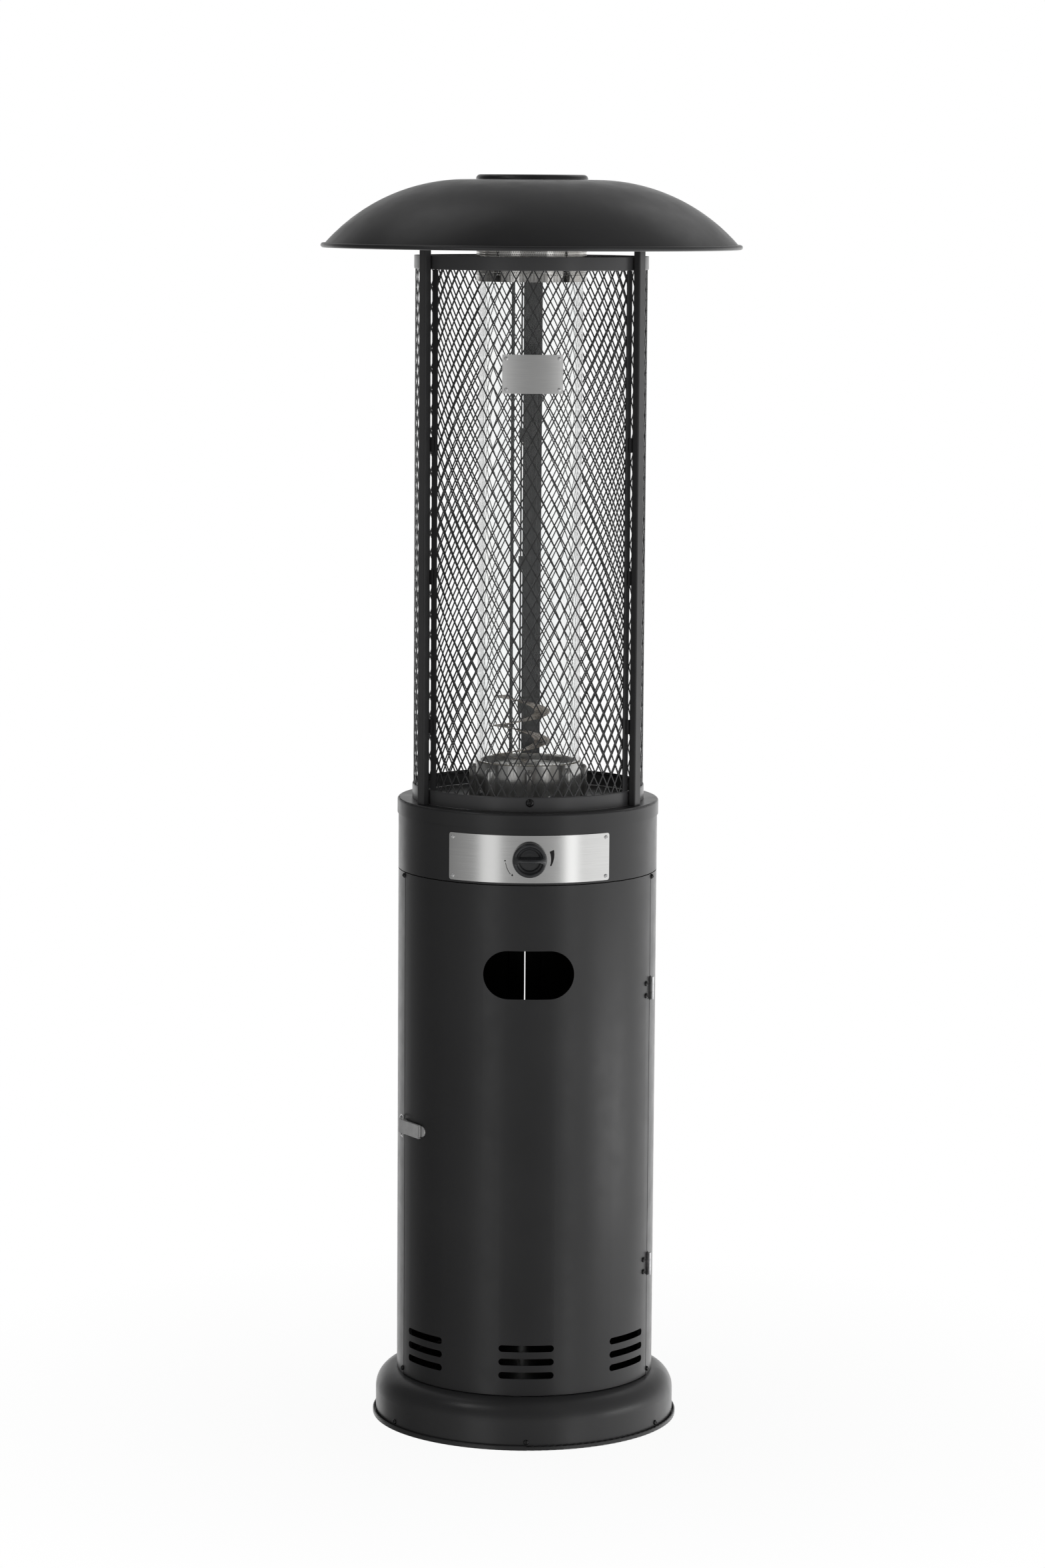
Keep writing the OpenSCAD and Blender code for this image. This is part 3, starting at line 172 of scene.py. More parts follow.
def brushedSteel(name, stretch, base, rough, anisotropic, turn, lines):
    mat, tree, shader = newMaterial(name)
    grain = noise(tree, 1, 4, stretch, brushed["lineRough"])
    groove = tuple(brushed["grooveShade"] * v for v in base)
    tone = ramp(tree, grain, [(0.25, groove), (0.75, base)])
    tree.links.new(tone, shader.inputs["Base Color"])
    shader.inputs["Metallic"].default_value = 1
    tree.links.new(valueRange(tree, grain, *rough), shader.inputs["Roughness"])
    shader.inputs["Anisotropic"].default_value = anisotropic
    shader.inputs["Anisotropic Rotation"].default_value = turn
    tangent = addNode(tree, "ShaderNodeTangent", direction_type="RADIAL", axis="Z")
    tree.links.new(tangent.outputs["Tangent"], shader.inputs["Tangent"])
    bump(tree, shader, [(grain, lines, brushed["lineDepth"])])
    return mat


# Plain metals: a base colour, stained a little, with marks from handling
plain = {"stainRough": 0.6, "markScale": 420, "markDepth": 0.0002}


def plainMetal(name, base, stain, rough, scale, marks, stretch=(1, 1, 1), metallic=1.0):
    mat, tree, shader = newMaterial(name)
    cloud = noise(tree, scale, 5, stretch, plain["stainRough"])
    tree.links.new(ramp(tree, cloud, [(0.35, stain), (0.62, base)]), shader.inputs["Base Color"])
    shader.inputs["Metallic"].default_value = metallic
    tree.links.new(valueRange(tree, cloud, rough[1], rough[0]), shader.inputs["Roughness"])
    bump(tree, shader, [(noise(tree, plain["markScale"], 3, stretch), marks, plain["markDepth"])])
    return mat


# Steel stained by heat, in brownish and grey patches
heat = {"patchScale": 24, "patchRough": 0.6, "rough": (0.26, 0.46), "grainScale": 300,
        "grainBump": (0.12, 0.0003),
        "tints": [(0.30, srgb(70, 66, 62)), (0.42, srgb(112, 102, 92)), (0.52, srgb(146, 138, 128)),
                  (0.62, srgb(96, 88, 80)), (0.74, srgb(172, 168, 162))]}


def heatedSteel():
    mat, tree, shader = newMaterial("heatedSteel")
    patch = noise(tree, heat["patchScale"], 5, rough=heat["patchRough"])
    tree.links.new(ramp(tree, patch, heat["tints"]), shader.inputs["Base Color"])
    shader.inputs["Metallic"].default_value = 1
    tree.links.new(valueRange(tree, patch, *heat["rough"]), shader.inputs["Roughness"])
    bump(tree, shader, [(noise(tree, heat["grainScale"], 3), *heat["grainBump"])])
    return mat


# Clear glass with a faint tint and a slow wave; its low index keeps the rear post dark behind it
glass = {"index": 1.24, "hazeScale": 16, "hazeStretch": (1, 1, 0.12), "hazy": (0.93, 0.94, 0.94),
         "clear": (0.99, 0.995, 0.99), "waveScale": 12, "waveStretch": (1, 1, 0.2),
         "waveBump": (0.04, 0.002)}


def clearGlass():
    mat, tree, shader = newMaterial("tubeGlass")
    shader.inputs["Transmission Weight"].default_value = 1
    shader.inputs["IOR"].default_value = glass["index"]
    shader.inputs["Roughness"].default_value = 0
    haze = noise(tree, glass["hazeScale"], 3, glass["hazeStretch"])
    tint = ramp(tree, haze, [(0.35, glass["hazy"]), (0.6, glass["clear"])])
    tree.links.new(tint, shader.inputs["Base Color"])
    wave = noise(tree, glass["waveScale"], 1, glass["waveStretch"])
    bump(tree, shader, [(wave, *glass["waveBump"])])
    return mat


# Moulded or coated black parts
moulded = {"cloudScale": 60, "cloudShade": 0.85, "grainDepth": 0.0002}


def plastic(name, color, rough, grain=900, depth=0.06, specular=0.5):
    mat, tree, shader = newMaterial(name)
    cloud = noise(tree, moulded["cloudScale"], 4)
    shade = tuple(moulded["cloudShade"] * v for v in color)
    tone = ramp(tree, cloud, [(0.3, shade), (0.7, color)])
    tree.links.new(tone, shader.inputs["Base Color"])
    tree.links.new(valueRange(tree, cloud, *rough), shader.inputs["Roughness"])
    shader.inputs["Specular IOR Level"].default_value = specular
    bump(tree, shader, [(noise(tree, grain, 3), depth, moulded["grainDepth"])])
    return mat


# Pale woven fibre of the glass gasket
woven = {"scale": (900, 900, 900), "dark": srgb(196, 190, 176), "light": srgb(232, 228, 216), "rough": 0.9,
         "bump": (0.5, 0.0005)}


def wovenFibre():
    mat, tree, shader = newMaterial("wovenFibre")
    weave = noise(tree, 1, 2, woven["scale"])
    tone = ramp(tree, weave, [(0.35, woven["dark"]), (0.65, woven["light"])])
    tree.links.new(tone, shader.inputs["Base Color"])
    shader.inputs["Roughness"].default_value = woven["rough"]
    bump(tree, shader, [(weave, *woven["bump"])])
    return mat


finish = {
    "powder": powderCoat("charcoalPowder", srgb(53, 53, 54), srgb(61, 61, 62)),
    # painted light for the base: a lighter copy of the same powder coat
    "powderBasePaintedLight": powderCoat("charcoalPowderBasePaintedLight", srgb(68, 68, 69), srgb(76, 76, 77)),
    # painted light for the guard rings: a lighter copy of the same powder coat, brighter than the light
    # there makes them
    "powderRingPaintedLight": powderCoat("charcoalPowderRingPaintedLight", srgb(80, 80, 81), srgb(88, 88, 89)),
    # painted shade for the uprights inside the guard and the door stop: a darker copy of the same powder
    # coat
    "powderInsidePaintedShade": powderCoat("charcoalPowderInsidePaintedShade", srgb(36, 36, 37), srgb(42, 42, 43)),
    "panelSteel": brushedSteel("brushedPanel", stretch=(14, 14, 2400), base=(0.84, 0.84, 0.83),
                               rough=(0.14, 0.20), anisotropic=0.8, turn=0.0, lines=0.05),
    "plateSteel": brushedSteel("brushedPlate", stretch=(30, 30, 1800), base=(0.90, 0.90, 0.89),
                               rough=(0.36, 0.46), anisotropic=0.4, turn=0.25, lines=0.06),
    "potSteel": plainMetal("polishedPot", srgb(232, 232, 230), srgb(158, 156, 152), rough=(0.08, 0.18),
                           scale=34, marks=0.2, stretch=(1, 1, 0.5), metallic=0.6),
    "screenSteel": plainMetal("polishedScreen", srgb(216, 215, 212), srgb(196, 193, 188),
                              rough=(0.08, 0.15), scale=14, marks=0.03),
    "latchSteel": plainMetal("plainSteel", srgb(205, 205, 203), srgb(176, 176, 174), rough=(0.20, 0.32),
                             scale=40, marks=0.06),
    "hingeSteel": plainMetal("hingeSteel", srgb(226, 226, 226), srgb(196, 196, 198), rough=(0.26, 0.38),
                             scale=40, marks=0.06),
    "brightSteel": plainMetal("brightSteel", srgb(248, 248, 248), srgb(234, 234, 234), rough=(0.22, 0.32),
                              scale=60, marks=0.05, metallic=0.5),
    "leverSteel": plainMetal("leverSteel", srgb(250, 250, 249), srgb(232, 232, 232), rough=(0.14, 0.22),
                             scale=50, marks=0.04, metallic=0.15),
    "zinc": plainMetal("zincPlate", srgb(190, 194, 200), srgb(160, 160, 168), rough=(0.22, 0.36),
                       scale=80, marks=0.08),
    "heated": heatedSteel(),
    "blackSteel": plastic("blackenedSteel", srgb(22, 22, 23), rough=(0.16, 0.3), grain=500, depth=0.08,
                          specular=0.6),
    "brass": plainMetal("turnedBrass", srgb(214, 186, 120), srgb(176, 146, 88), rough=(0.2, 0.34),
                        scale=60, marks=0.06),
    "copper": plainMetal("drawnCopper", srgb(206, 138, 108), srgb(150, 96, 74), rough=(0.22, 0.4),
                         scale=40, marks=0.06),
    "knob": plastic("knobPlastic", srgb(70, 71, 73), rough=(0.20, 0.28), grain=700, depth=0.04,
                    specular=0.7),
    "switch": plastic("switchPlastic", srgb(30, 30, 31), rough=(0.45, 0.6)),
    "print": plastic("blackPrint", srgb(14, 14, 14), rough=(0.5, 0.6)),
    "glass": clearGlass(),
    "fibre": wovenFibre(),
}

# The finish of each material slot, and of the nodes that look different from their slot, by a finish of
# their own or by painted light and shade
slotFinish = {
    "powder_coat": "powder",
    "stainless": "latchSteel",
    "zinc_steel": "zinc",
    "heated_steel": "heated",
    "black_steel": "blackSteel",
    "brass": "brass",
    "copper": "copper",
    "knob_plastic": "knob",
    "switch_plastic": "switch",
    "glass": "glass",
    "gasket": "fibre",
}
nodeFinish = {
    # the guard rings take the lighter copy of the powder coat, painted light
    "guard_ring_lower": "powderRingPaintedLight",
    "guard_ring_upper": "powderRingPaintedLight",
    # the base takes the lighter copy of the powder coat, painted light
    "base_shell": "powderBasePaintedLight",
    "base_plate": "powderBasePaintedLight",
    # the uprights inside the guard take the darker copy of the powder coat, painted shade
    "upright_front_left": "powderInsidePaintedShade",
    "upright_front_right": "powderInsidePaintedShade",
    "upright_rear_left": "powderInsidePaintedShade",
    "upright_rear_right": "powderInsidePaintedShade",
    "latch_lever": "leverSteel",
    "latch_bail": "leverSteel",
    "latch_keeper": "leverSteel",
    "latch_base": "leverSteel",
    "control_panel": "panelSteel",
    "caution_plate": "plateSteel",
    "caution_rivets": "brightSteel",
    "burner_pot": "potSteel",
    "burner_head": "potSteel",
    "flame_screen": "screenSteel",
    "hinge_body_leaves": "hingeSteel",
    "hinge_door_leaves": "hingeSteel",
    "hinge_pins": "hingeSteel",
}
slots = {part["node"]: part["material_slot"] for part in frame["record"]["subparts"]}


def dressNodes():
    for name, obj in nodes.items():
        chosen = finish[nodeFinish.get(name, slotFinish[slots[name]])]
        obj.data.materials.clear()
        obj.data.materials.append(chosen)


dressNodes()
print("finishes on", len(nodes), "nodes")


# Mesh helpers
sharpFrom = math.radians(40)


def makePiece(name, verts, faces, material, body, smooth=False):
    mesh = bpy.data.meshes.new(name)
    mesh.from_pydata(verts, [], faces)
    mesh.validate()
    mesh.update()
    mesh.materials.append(finish[material])
    obj = bpy.data.objects.new(name, mesh)
    scene.collection.objects.link(obj)
    if smooth:
        mesh.polygons.foreach_set("use_smooth", [True] * len(mesh.polygons))
        mesh.set_sharp_from_angle(angle=sharpFrom)
    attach(obj, body)
    return obj


def thickSheet(polygons, points, outside, inside):
    # polygons run anticlockwise seen from outside; walls close every free edge
    index = {}
    verts = []
    for key, flat in points.items():
        index[key] = len(verts)
        verts.append(outside(*flat))
    count = len(verts)
    verts += [inside(*flat) for flat in points.values()]
    faces = []
    edges = set()
    for polygon in polygons:
        ring = [index[key] for key in polygon]
        faces.append(ring)
        faces.append([n + count for n in reversed(ring)])
        edges.update(zip(ring, ring[1:] + ring[:1]))
    for a, b in sorted(edges):
        if (b, a) not in edges:
            faces.append([b, a, a + count, b + count])
    return verts, faces


def aroundAxis(radius, angle, z):
    # angle 0 is the front
    return (radius * math.sin(angle), -radius * math.cos(angle), z)


def discFaces(rings, sides):
    # a centre vertex, its rings, and one more ring that closes the back
    faces = [[0, 1 + side, 1 + (side + 1) % sides] for side in range(sides)]
    for ring in range(rings):
        base = 1 + ring * sides
        for side in range(sides):
            after = (side + 1) % sides
            faces.append([base + side, base + sides + side, base + sides + after, base + after])
    back = 1 + rings * sides
    faces.append([back + side for side in reversed(range(sides))])
    return faces


def appendMesh(verts, faces, moreVerts, moreFaces):
    start = len(verts)
    verts += moreVerts
    faces += [[n + start for n in face] for face in moreFaces]


def clamp(value):
    return max(0.0, min(1.0, value))


def smooth(share):
    return share * share * (3 - 2 * share)


# Expanded mesh of the guard: openings and strand crossings share a grid of half cells
guardMesh = {"columns": 20, "rows": 25, "strand": 0.0020, "border": 0.003, "thickness": 0.0013}


def diamondNet(columns, rows, halfWidth, halfHeight, strand, border):
    cellW = halfWidth / columns
    cellH = halfHeight / rows
    slant = math.hypot(cellW, cellH)
    knotX = strand / 2 * slant / cellH
    knotY = strand / 2 * slant / cellW
    lastI = 2 * columns
    lastJ = 2 * rows
    points = {}
    polygons = []

    def middle(i, j):
        return (i - columns) * cellW, (j - rows) * cellH

    def isOpening(i, j):
        return (i + j) % 2 == 1

    for j in range(lastJ + 1):
        for i in range(lastI + 1):
            x, z = middle(i, j)
            if isOpening(i, j):
                points[i, j, "south"] = (x, z + (knotY - cellH if j > 0 else 0))
                points[i, j, "east"] = (x + (cellW - knotX if i < lastI else 0), z)
                points[i, j, "north"] = (x, z + (cellH - knotY if j < lastJ else 0))
                points[i, j, "west"] = (x + (knotX - cellW if i > 0 else 0), z)
            if i in (0, lastI) or j in (0, lastJ):
                sideX = -border if i == 0 else border if i == lastI else 0
                sideZ = -border if j == 0 else border if j == lastJ else 0
                points[i, j, "edge"] = (x + sideX, z + sideZ)

    for j in range(lastJ + 1):
        for i in range(lastI + 1):
            if isOpening(i, j) and j < lastJ:
                if i < lastI:
                    polygons.append([(i, j, "east"), (i + 1, j + 1, "south"), (i + 1, j + 1, "west"),
                                     (i, j, "north")])
                if i > 0:
                    polygons.append([(i, j, "north"), (i - 1, j + 1, "east"), (i - 1, j + 1, "south"),
                                     (i, j, "west")])
            if not isOpening(i, j):
                corner = i in (0, lastI) and j in (0, lastJ)
                far = i == lastI and j == lastJ
                ring = []
                if j > 0:
                    ring.append((i, j - 1, "north"))
                if i < lastI:
                    ring.append((i + 1, j, "west"))
                if far:
                    ring.append((i, j, "edge"))
                if j < lastJ:
                    ring.append((i, j + 1, "south"))
                if i > 0:
                    ring.append((i - 1, j, "east"))
                if corner and not far:
                    ring.append((i, j, "edge"))
                polygons.append(ring)

    for i, side in ((0, "west"), (lastI, "east")):
        for j in range(1, lastJ):
            if isOpening(i, j):
                strips = [[(i, j - 1, "edge"), (i, j, "south"), (i, j, side), (i, j, "edge")],
                          [(i, j, "edge"), (i, j, side), (i, j, "north"), (i, j + 1, "edge")]]
            else:
                strips = [[(i, j, "edge"), (i, j - 1, "north"), (i, j + 1, "south")]]
            polygons += [strip[::-1] if i else strip for strip in strips]
    for j, side in ((0, "south"), (lastJ, "north")):
        for i in range(1, lastI):
            if isOpening(i, j):
                strips = [[(i - 1, j, "edge"), (i, j, "edge"), (i, j, side), (i, j, "west")],
                          [(i, j, "edge"), (i + 1, j, "edge"), (i, j, "east"), (i, j, side)]]
            else:
                strips = [[(i, j, "edge"), (i + 1, j, "west"), (i - 1, j, "east")]]
            polygons += [strip[::-1] if j else strip for strip in strips]
    used = {key for polygon in polygons for key in polygon}
    return polygons, {key: flat for key, flat in points.items() if key in used}


def addGuardMesh():
    low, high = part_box("guard_mesh_front")
    radius = -low.y
    halfAngle = math.asin(high.x / radius)
    spec = guardMesh
    halfWidth = halfAngle * radius - spec["border"]
    halfHeight = (high.z - low.z) / 2 - spec["border"]
    midZ = (high.z + low.z) / 2
    polygons, points = diamondNet(spec["columns"], spec["rows"], halfWidth, halfHeight, spec["strand"],
                                  spec["border"])
    for name, turn in (("guard_mesh_front", 0), ("guard_mesh_left", -120), ("guard_mesh_right", 120)):
        start = math.radians(turn)
        inner = radius - spec["thickness"]
        verts, faces = thickSheet(polygons, points,
                                  lambda x, z: aroundAxis(radius, start + x / radius, midZ + z),
                                  lambda x, z: aroundAxis(inner, start + x / radius, midZ + z))
        piece = makePiece(name + "_fine", verts, faces, "powder", "housing")
        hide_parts(name)


addGuardMesh()
print("guard mesh woven")


# Curved bars about the axis: each from one compass angle to another, between two radii and two heights
def curvedBars(bars, step):
    verts = []
    faces = []
    for begin, end, inner, outer, low, high in bars:
        count = max(2, math.ceil((end - begin) / step)) + 1
        start = len(verts)
        for n in range(count):
            angle = math.radians(begin + (end - begin) * n / (count - 1))
            for r, z in ((outer, low), (outer, high), (inner, high), (inner, low)):
                verts.append(aroundAxis(r, angle, z))
        for n in range(count - 1):
            a, b = start + 4 * n, start + 4 * (n + 1)
            for k in range(4):
                m = (k + 1) % 4
                faces.append([a + k, b + k, b + m, a + m])
        last = start + 4 * (count - 1)
        faces.append([start + k for k in range(4)])
        faces.append([last + 3 - k for k in range(4)])
    return verts, faces


# Edge strips of the mesh panels; the two at the rear as they show in front
edgeStrips = {"inner": 0.193, "outer": 0.1944, "step": 0.6,
              "spans": [(-57.3, -52.9), (52.9, 57.3), (-67.1, -62.7), (62.7, 67.1), (-172.2, -170.4),
                        (173.0, 178.2)]}


def addEdgeStrips():
    low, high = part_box("guard_strips")
    spec = edgeStrips
    bars = [(begin, end, spec["inner"], spec["outer"], low.z, high.z) for begin, end in spec["spans"]]
    verts, faces = curvedBars(bars, spec["step"])
    piece = makePiece("guard_strips_curved", verts, faces, "powder", "housing", True)
    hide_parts("guard_strips")


addEdgeStrips()
print("edge strips set")


# Stop behind the gap over the door, hung from the control band
doorStop = {"reach": 24, "inner": 0.2064, "outer": 0.2074, "drop": 0.004, "rise": 0.009, "flange": 0.0012,
            "step": 2}


def addDoorStop():
    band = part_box("control_band")[0]
    spec = doorStop
    top = band.z + spec["rise"]
    reach = spec["reach"]
    strip = (-reach, reach, spec["inner"], spec["outer"], band.z - spec["drop"], top)
    flange = (-reach, reach, spec["outer"], -band.y - spec["flange"], top - spec["flange"], top)
    verts, faces = curvedBars([strip, flange], spec["step"])
    # its powder is the darker copy, painted shade behind the gap
    makePiece("door_stop_strip", verts, faces, "powderInsidePaintedShade", "housing", True)


addDoorStop()
print("door stop hung")


# Perforated sheet: a grid of square cells, each with a round hole of eight sides; bands are its plain edges
def perforated(columns, rows, hole, closed=False, staggered=False, lowBand=0.0, highBand=0.0):
    points = {}
    polygons = []
    lap = 2 * columns

    def lattice(a, b):
        key = (a % lap if closed else a, b)
        points[key] = (key[0] / 2, b / 2)
        return key

    for row in range(rows):
        shift = 1 if staggered and row % 2 else 0
        for column in range(columns):
            a, b = 2 * column + shift, 2 * row
            square = [lattice(a + da, b + db) for da, db in
                      ((0, 0), (1, 0), (2, 0), (2, 1), (2, 2), (1, 2), (0, 2), (0, 1))]
            ring = []
            for n in range(8):
                # from the lower left, like the points of the square
                turn = math.radians(225 + 45 * n)
                key = ("hole", row, column, n)
                points[key] = (a / 2 + 0.5 + hole * math.cos(turn), b / 2 + 0.5 + hole * math.sin(turn))
                ring.append(key)
            for n in range(8):
                m = (n + 1) % 8
                polygons.append([square[n], square[m], ring[m], ring[n]])
    ends = ((0, -lowBand, lowBand), (2 * rows, rows + highBand, highBand))
    for level, place, band in ends:
        if band:
            for a in range(lap):
                keys = []
                for step in (a, a + 1):
                    step = step % lap if closed else step
                    key = ("band", level, step)
                    points[key] = (step / 2, place)
                    keys.append(key)
                quad = [keys[0], keys[1], lattice(a + 1, level), lattice(a, level)]
                polygons.append(quad if level == 0 else quad[::-1])
    return polygons, points


# Flame screen: the perforated tube, and the flange round its upper edge
flameScreen = {"radius": 0.0915, "pitch": 0.0037, "hole": 0.0011, "plainBand": 0.0097, "wall": 0.001,
               "topBand": 0.0012, "flangeSides": 96, "flangeGap": 0.0002, "flangeHeight": 0.001}


def addFlameScreen():
    low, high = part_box("flame_screen")
    spec = flameScreen
    radius = spec["radius"]
    span = high.z - low.z - spec["plainBand"] - spec["topBand"]
    rows = int(span / spec["pitch"])
    pitchZ = span / rows
    columns = round(2 * math.pi * radius / spec["pitch"])
    polygons, points = perforated(columns, rows, spec["hole"] / spec["pitch"], True, True,
                                  spec["plainBand"] / pitchZ, spec["topBand"] / pitchZ)
    base = low.z + spec["plainBand"]
    verts, faces = thickSheet(
        polygons, points,
        lambda u, v: aroundAxis(radius, 2 * math.pi * u / columns, base + v * pitchZ),
        lambda u, v: aroundAxis(radius - spec["wall"], 2 * math.pi * u / columns, base + v * pitchZ))
    piece = makePiece("flame_screen_perforated", verts, faces, "screenSteel", "housing")
    rim = []
    rimFaces = []
    sides = spec["flangeSides"]
    near, under = radius + spec["flangeGap"], high.z - spec["flangeHeight"]
    profile = [(near, under), (high.x, under), (high.x, high.z), (near, high.z)]
    for n in range(sides):
        for r, z in profile:
            rim.append(aroundAxis(r, 2 * math.pi * n / sides, z))
        for k in range(4):
            a, b = n * 4, ((n + 1) % sides) * 4
            rimFaces.append([a + k, b + k, b + (k + 1) % 4, a + (k + 1) % 4])
    flange = makePiece("flame_screen_flange", rim, rimFaces, "screenSteel", "housing")
    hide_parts("flame_screen")
    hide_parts("flame_screen")


addFlameScreen()
print("flame screen drilled")


# Flame spiral: the same ribbon as the solid's, with three rows of holes
spiral = {"centreX": -0.012, "outer": 0.0475, "width": 0.025, "turns": 2.37, "start": 72,
          "thickness": 0.0012, "rows": 3, "plainEdge": 0.18, "holeShare": 0.27, "cells": 96}


def addSpiral():
    low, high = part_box("flame_spiral")
    spec = spiral
    edge = spec["plainEdge"]
    pitch = (high.z - low.z - spec["thickness"]) / spec["turns"]
    polygons, points = perforated(spec["cells"], spec["rows"], spec["holeShare"], lowBand=edge,
                                  highBand=edge)
    span = spec["rows"] + 2 * edge

    def place(u, v, drop):
        angle = math.radians(spec["start"]) + 2 * math.pi * spec["turns"] * u / spec["cells"]
        radius = spec["outer"] - spec["width"] * (v + edge) / span
        z = low.z + spec["thickness"] + pitch * spec["turns"] * u / spec["cells"] - drop
        return (spec["centreX"] + radius * math.cos(angle), radius * math.sin(angle), z)

    verts, faces = thickSheet(polygons, points, lambda u, v: place(u, v, 0),
                              lambda u, v: place(u, v, spec["thickness"]))
    piece = makePiece("flame_spiral_perforated", verts, faces, "heated", "housing")
    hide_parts("flame_spiral")


addSpiral()
print("flame spiral wound")


# Screws with a cross recess, set where the solids' own screws are
def looseParts(obj):
    mesh = obj.data
    group = list(range(len(mesh.vertices)))

    def root(n):
        while group[n] != n:
            group[n] = group[group[n]]
            n = group[n]
        return n

    places = {}
    for n, vertex in enumerate(mesh.vertices):
        # the solid's mesh splits a vertex at a sharp edge, so vertices in one place count as one
        key = tuple(round(c, 6) for c in vertex.co)
        if key in places:
            group[root(n)] = root(places[key])
        places[key] = n
    for a, b in mesh.edge_keys:
        group[root(a)] = root(b)
    parts = {}
    for n, vertex in enumerate(mesh.vertices):
        parts.setdefault(root(n), []).append(vertex.co.copy())
    return list(parts.values())


# Head of a cross screw; its sizes are shares of its diameter, and its depths of its height
crossScrew = {"rings": 16, "sides": 48, "crowding": 0.85, "middle": 0.45, "crown": 2.6, "armHalf": 0.085,
              "armFlank": 0.03, "armReach": 0.27, "armEnd": 0.05, "recess": 0.5, "skirt": 0.0002,
              "seatBand": 0.0002, "firstSpin": 0.3, "nextSpin": 0.7}


def crossHead(diameter, height, spin):
    # domed, standing on z = 0, as a polar grid of heights
    spec = crossScrew
    sides = spec["sides"]
    radius = diameter / 2
    verts = [(0, 0, height * spec["middle"])]
    for ring in range(1, spec["rings"] + 1):
        r = radius * (ring / spec["rings"]) ** spec["crowding"]
        share = r / radius
        for side in range(sides):
            angle = 2 * math.pi * side / sides
            x, y = r * math.cos(angle), r * math.sin(angle)
            across, along = sorted((abs(x * math.cos(spin) + y * math.sin(spin)),
                                    abs(y * math.cos(spin) - x * math.sin(spin))))
            inArm = clamp((spec["armHalf"] - across / diameter) / spec["armFlank"])
            inArm *= clamp((spec["armReach"] - along / diameter) / spec["armEnd"])
            z = height * math.sqrt(max(0.0, 1 - share ** spec["crown"]))
            z -= inArm * height * spec["recess"] * (1 - share)
            verts.append((x, y, max(z, 0.0)))
    verts += [(x, y, -spec["skirt"]) for x, y, z in verts[-sides:]]
    return verts, discFaces(spec["rings"], sides)


def dressScrews(node, material, slot, body):
    spec = crossScrew
    up = Vector((0, 0, 1))
    allVerts = []
    allFaces = []
    for number, part in enumerate(looseParts(nodes[node])):
        lowZ = min(p.z for p in part)
        highZ = max(p.z for p in part)
        middle = sum(part, Vector()) / len(part)
        angle = math.atan2(middle.x, -middle.y)
        out = Vector((math.sin(angle), -math.cos(angle), 0))
        right = Vector((math.cos(angle), math.sin(angle), 0))
        tip = max(p.dot(out) for p in part)
        seat = min(p.dot(out) for p in part if abs(p.z - highZ) < spec["seatBand"])
        centre = out * seat + up * ((lowZ + highZ) / 2)
        verts, faces = crossHead(highZ - lowZ, tip - seat, spec["firstSpin"] + spec["nextSpin"] * number)
        placed = [tuple(centre + right * x + up * y + out * z) for x, y, z in verts]
        appendMesh(allVerts, allFaces, placed, faces)
    piece = makePiece(node + "_crossed", allVerts, allFaces, material, body, True)
    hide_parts(node)


for screwSet in (("base_screws", "blackSteel", "black_steel", "housing"),
                 ("panel_screws", "blackSteel", "black_steel", "housing"),
                 ("guard_screws", "blackSteel", "black_steel", "housing"),
                 ("hinge_screws", "blackSteel", "black_steel", "door"),
                 ("control_panel_screws", "brightSteel", "stainless", "housing")):
    dressScrews(*screwSet)


# Two cross screws low on the burner pot: compass angle and height over its foot
potScrews = {"places": [(-53, 0.0152), (21, 0.0102)], "diameter": 0.007, "height": 0.0024, "sunk": 0.0003,
             "firstSpin": 0.5}


def addPotScrews():
    low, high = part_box("burner_pot")
    spec = potScrews
    wall = high.x - spec["sunk"]
    allVerts = []
    allFaces = []
    for number, (turn, rise) in enumerate(spec["places"]):
        angle = math.radians(turn)
        verts, faces = crossHead(spec["diameter"], spec["height"], spec["firstSpin"] + number)
        placed = []
        for x, y, z in verts:
            ax, ay, az = aroundAxis(wall + z, angle, low.z + rise + y)
            placed.append((ax + x * math.cos(angle), ay + x * math.sin(angle), az))
        appendMesh(allVerts, allFaces, placed, faces)
    makePiece("burner_pot_screws", allVerts, allFaces, "brightSteel", "housing", True)


addPotScrews()
print("screws set")


# Latch lever: a pressed face with a raised rim on the solid's outer side, its profile as inset and height
lever = {"near": (-0.2129, -0.0767), "far": (-0.1782, -0.1324), "corner": 0.004, "leastCorner": 0.0006,
         "cornerPoints": 8,
         "profile": [(0.0, -0.0003), (0.0003, 0.0006), (0.0009, 0.0014), (0.0017, 0.0017), (0.0025, 0.0014),
                     (0.0034, 0.0008), (0.0050, 0.0006)]}


def addLever():
    low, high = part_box("latch_lever")
    spec = lever
    start, end = Vector((*spec["near"], 0)), Vector((*spec["far"], 0))
    along = (end - start).normalized()
    out = Vector((along.y, -along.x, 0))
    centre = (start + end) / 2 + Vector((0, 0, (low.z + high.z) / 2))
    half = ((end - start).length / 2, (high.z - low.z) / 2)
    verts = []
    faces = []

    def outline(inset, height):
        corner = max(spec["corner"] - inset, spec["leastCorner"])
        for quarter, (sideA, sideB) in enumerate([(1, 1), (-1, 1), (-1, -1), (1, -1)]):
            for n in range(spec["cornerPoints"]):
                angle = math.pi / 2 * (quarter + n / (spec["cornerPoints"] - 1))
                a = sideA * (half[0] - inset - corner) + corner * math.cos(angle)
                b = sideB * (half[1] - inset - corner) + corner * math.sin(angle)
                verts.append(tuple(centre + along * a + Vector((0, 0, b)) + out * height))

    for inset, height in spec["profile"]:
        outline(inset, height)
    count = 4 * spec["cornerPoints"]
    last = (len(spec["profile"]) - 1) * count
    for base in range(0, last, count):
        for n in range(count):
            m = (n + 1) % count
            faces.append([base + n, base + m, base + count + m, base + count + n])
    faces.append([last + n for n in range(count)])
    faces.append(list(reversed(range(count))))
    makePiece("latch_lever_face", verts, faces, "leverSteel", "latch_lever", True)


addLever()
print("lever pressed")


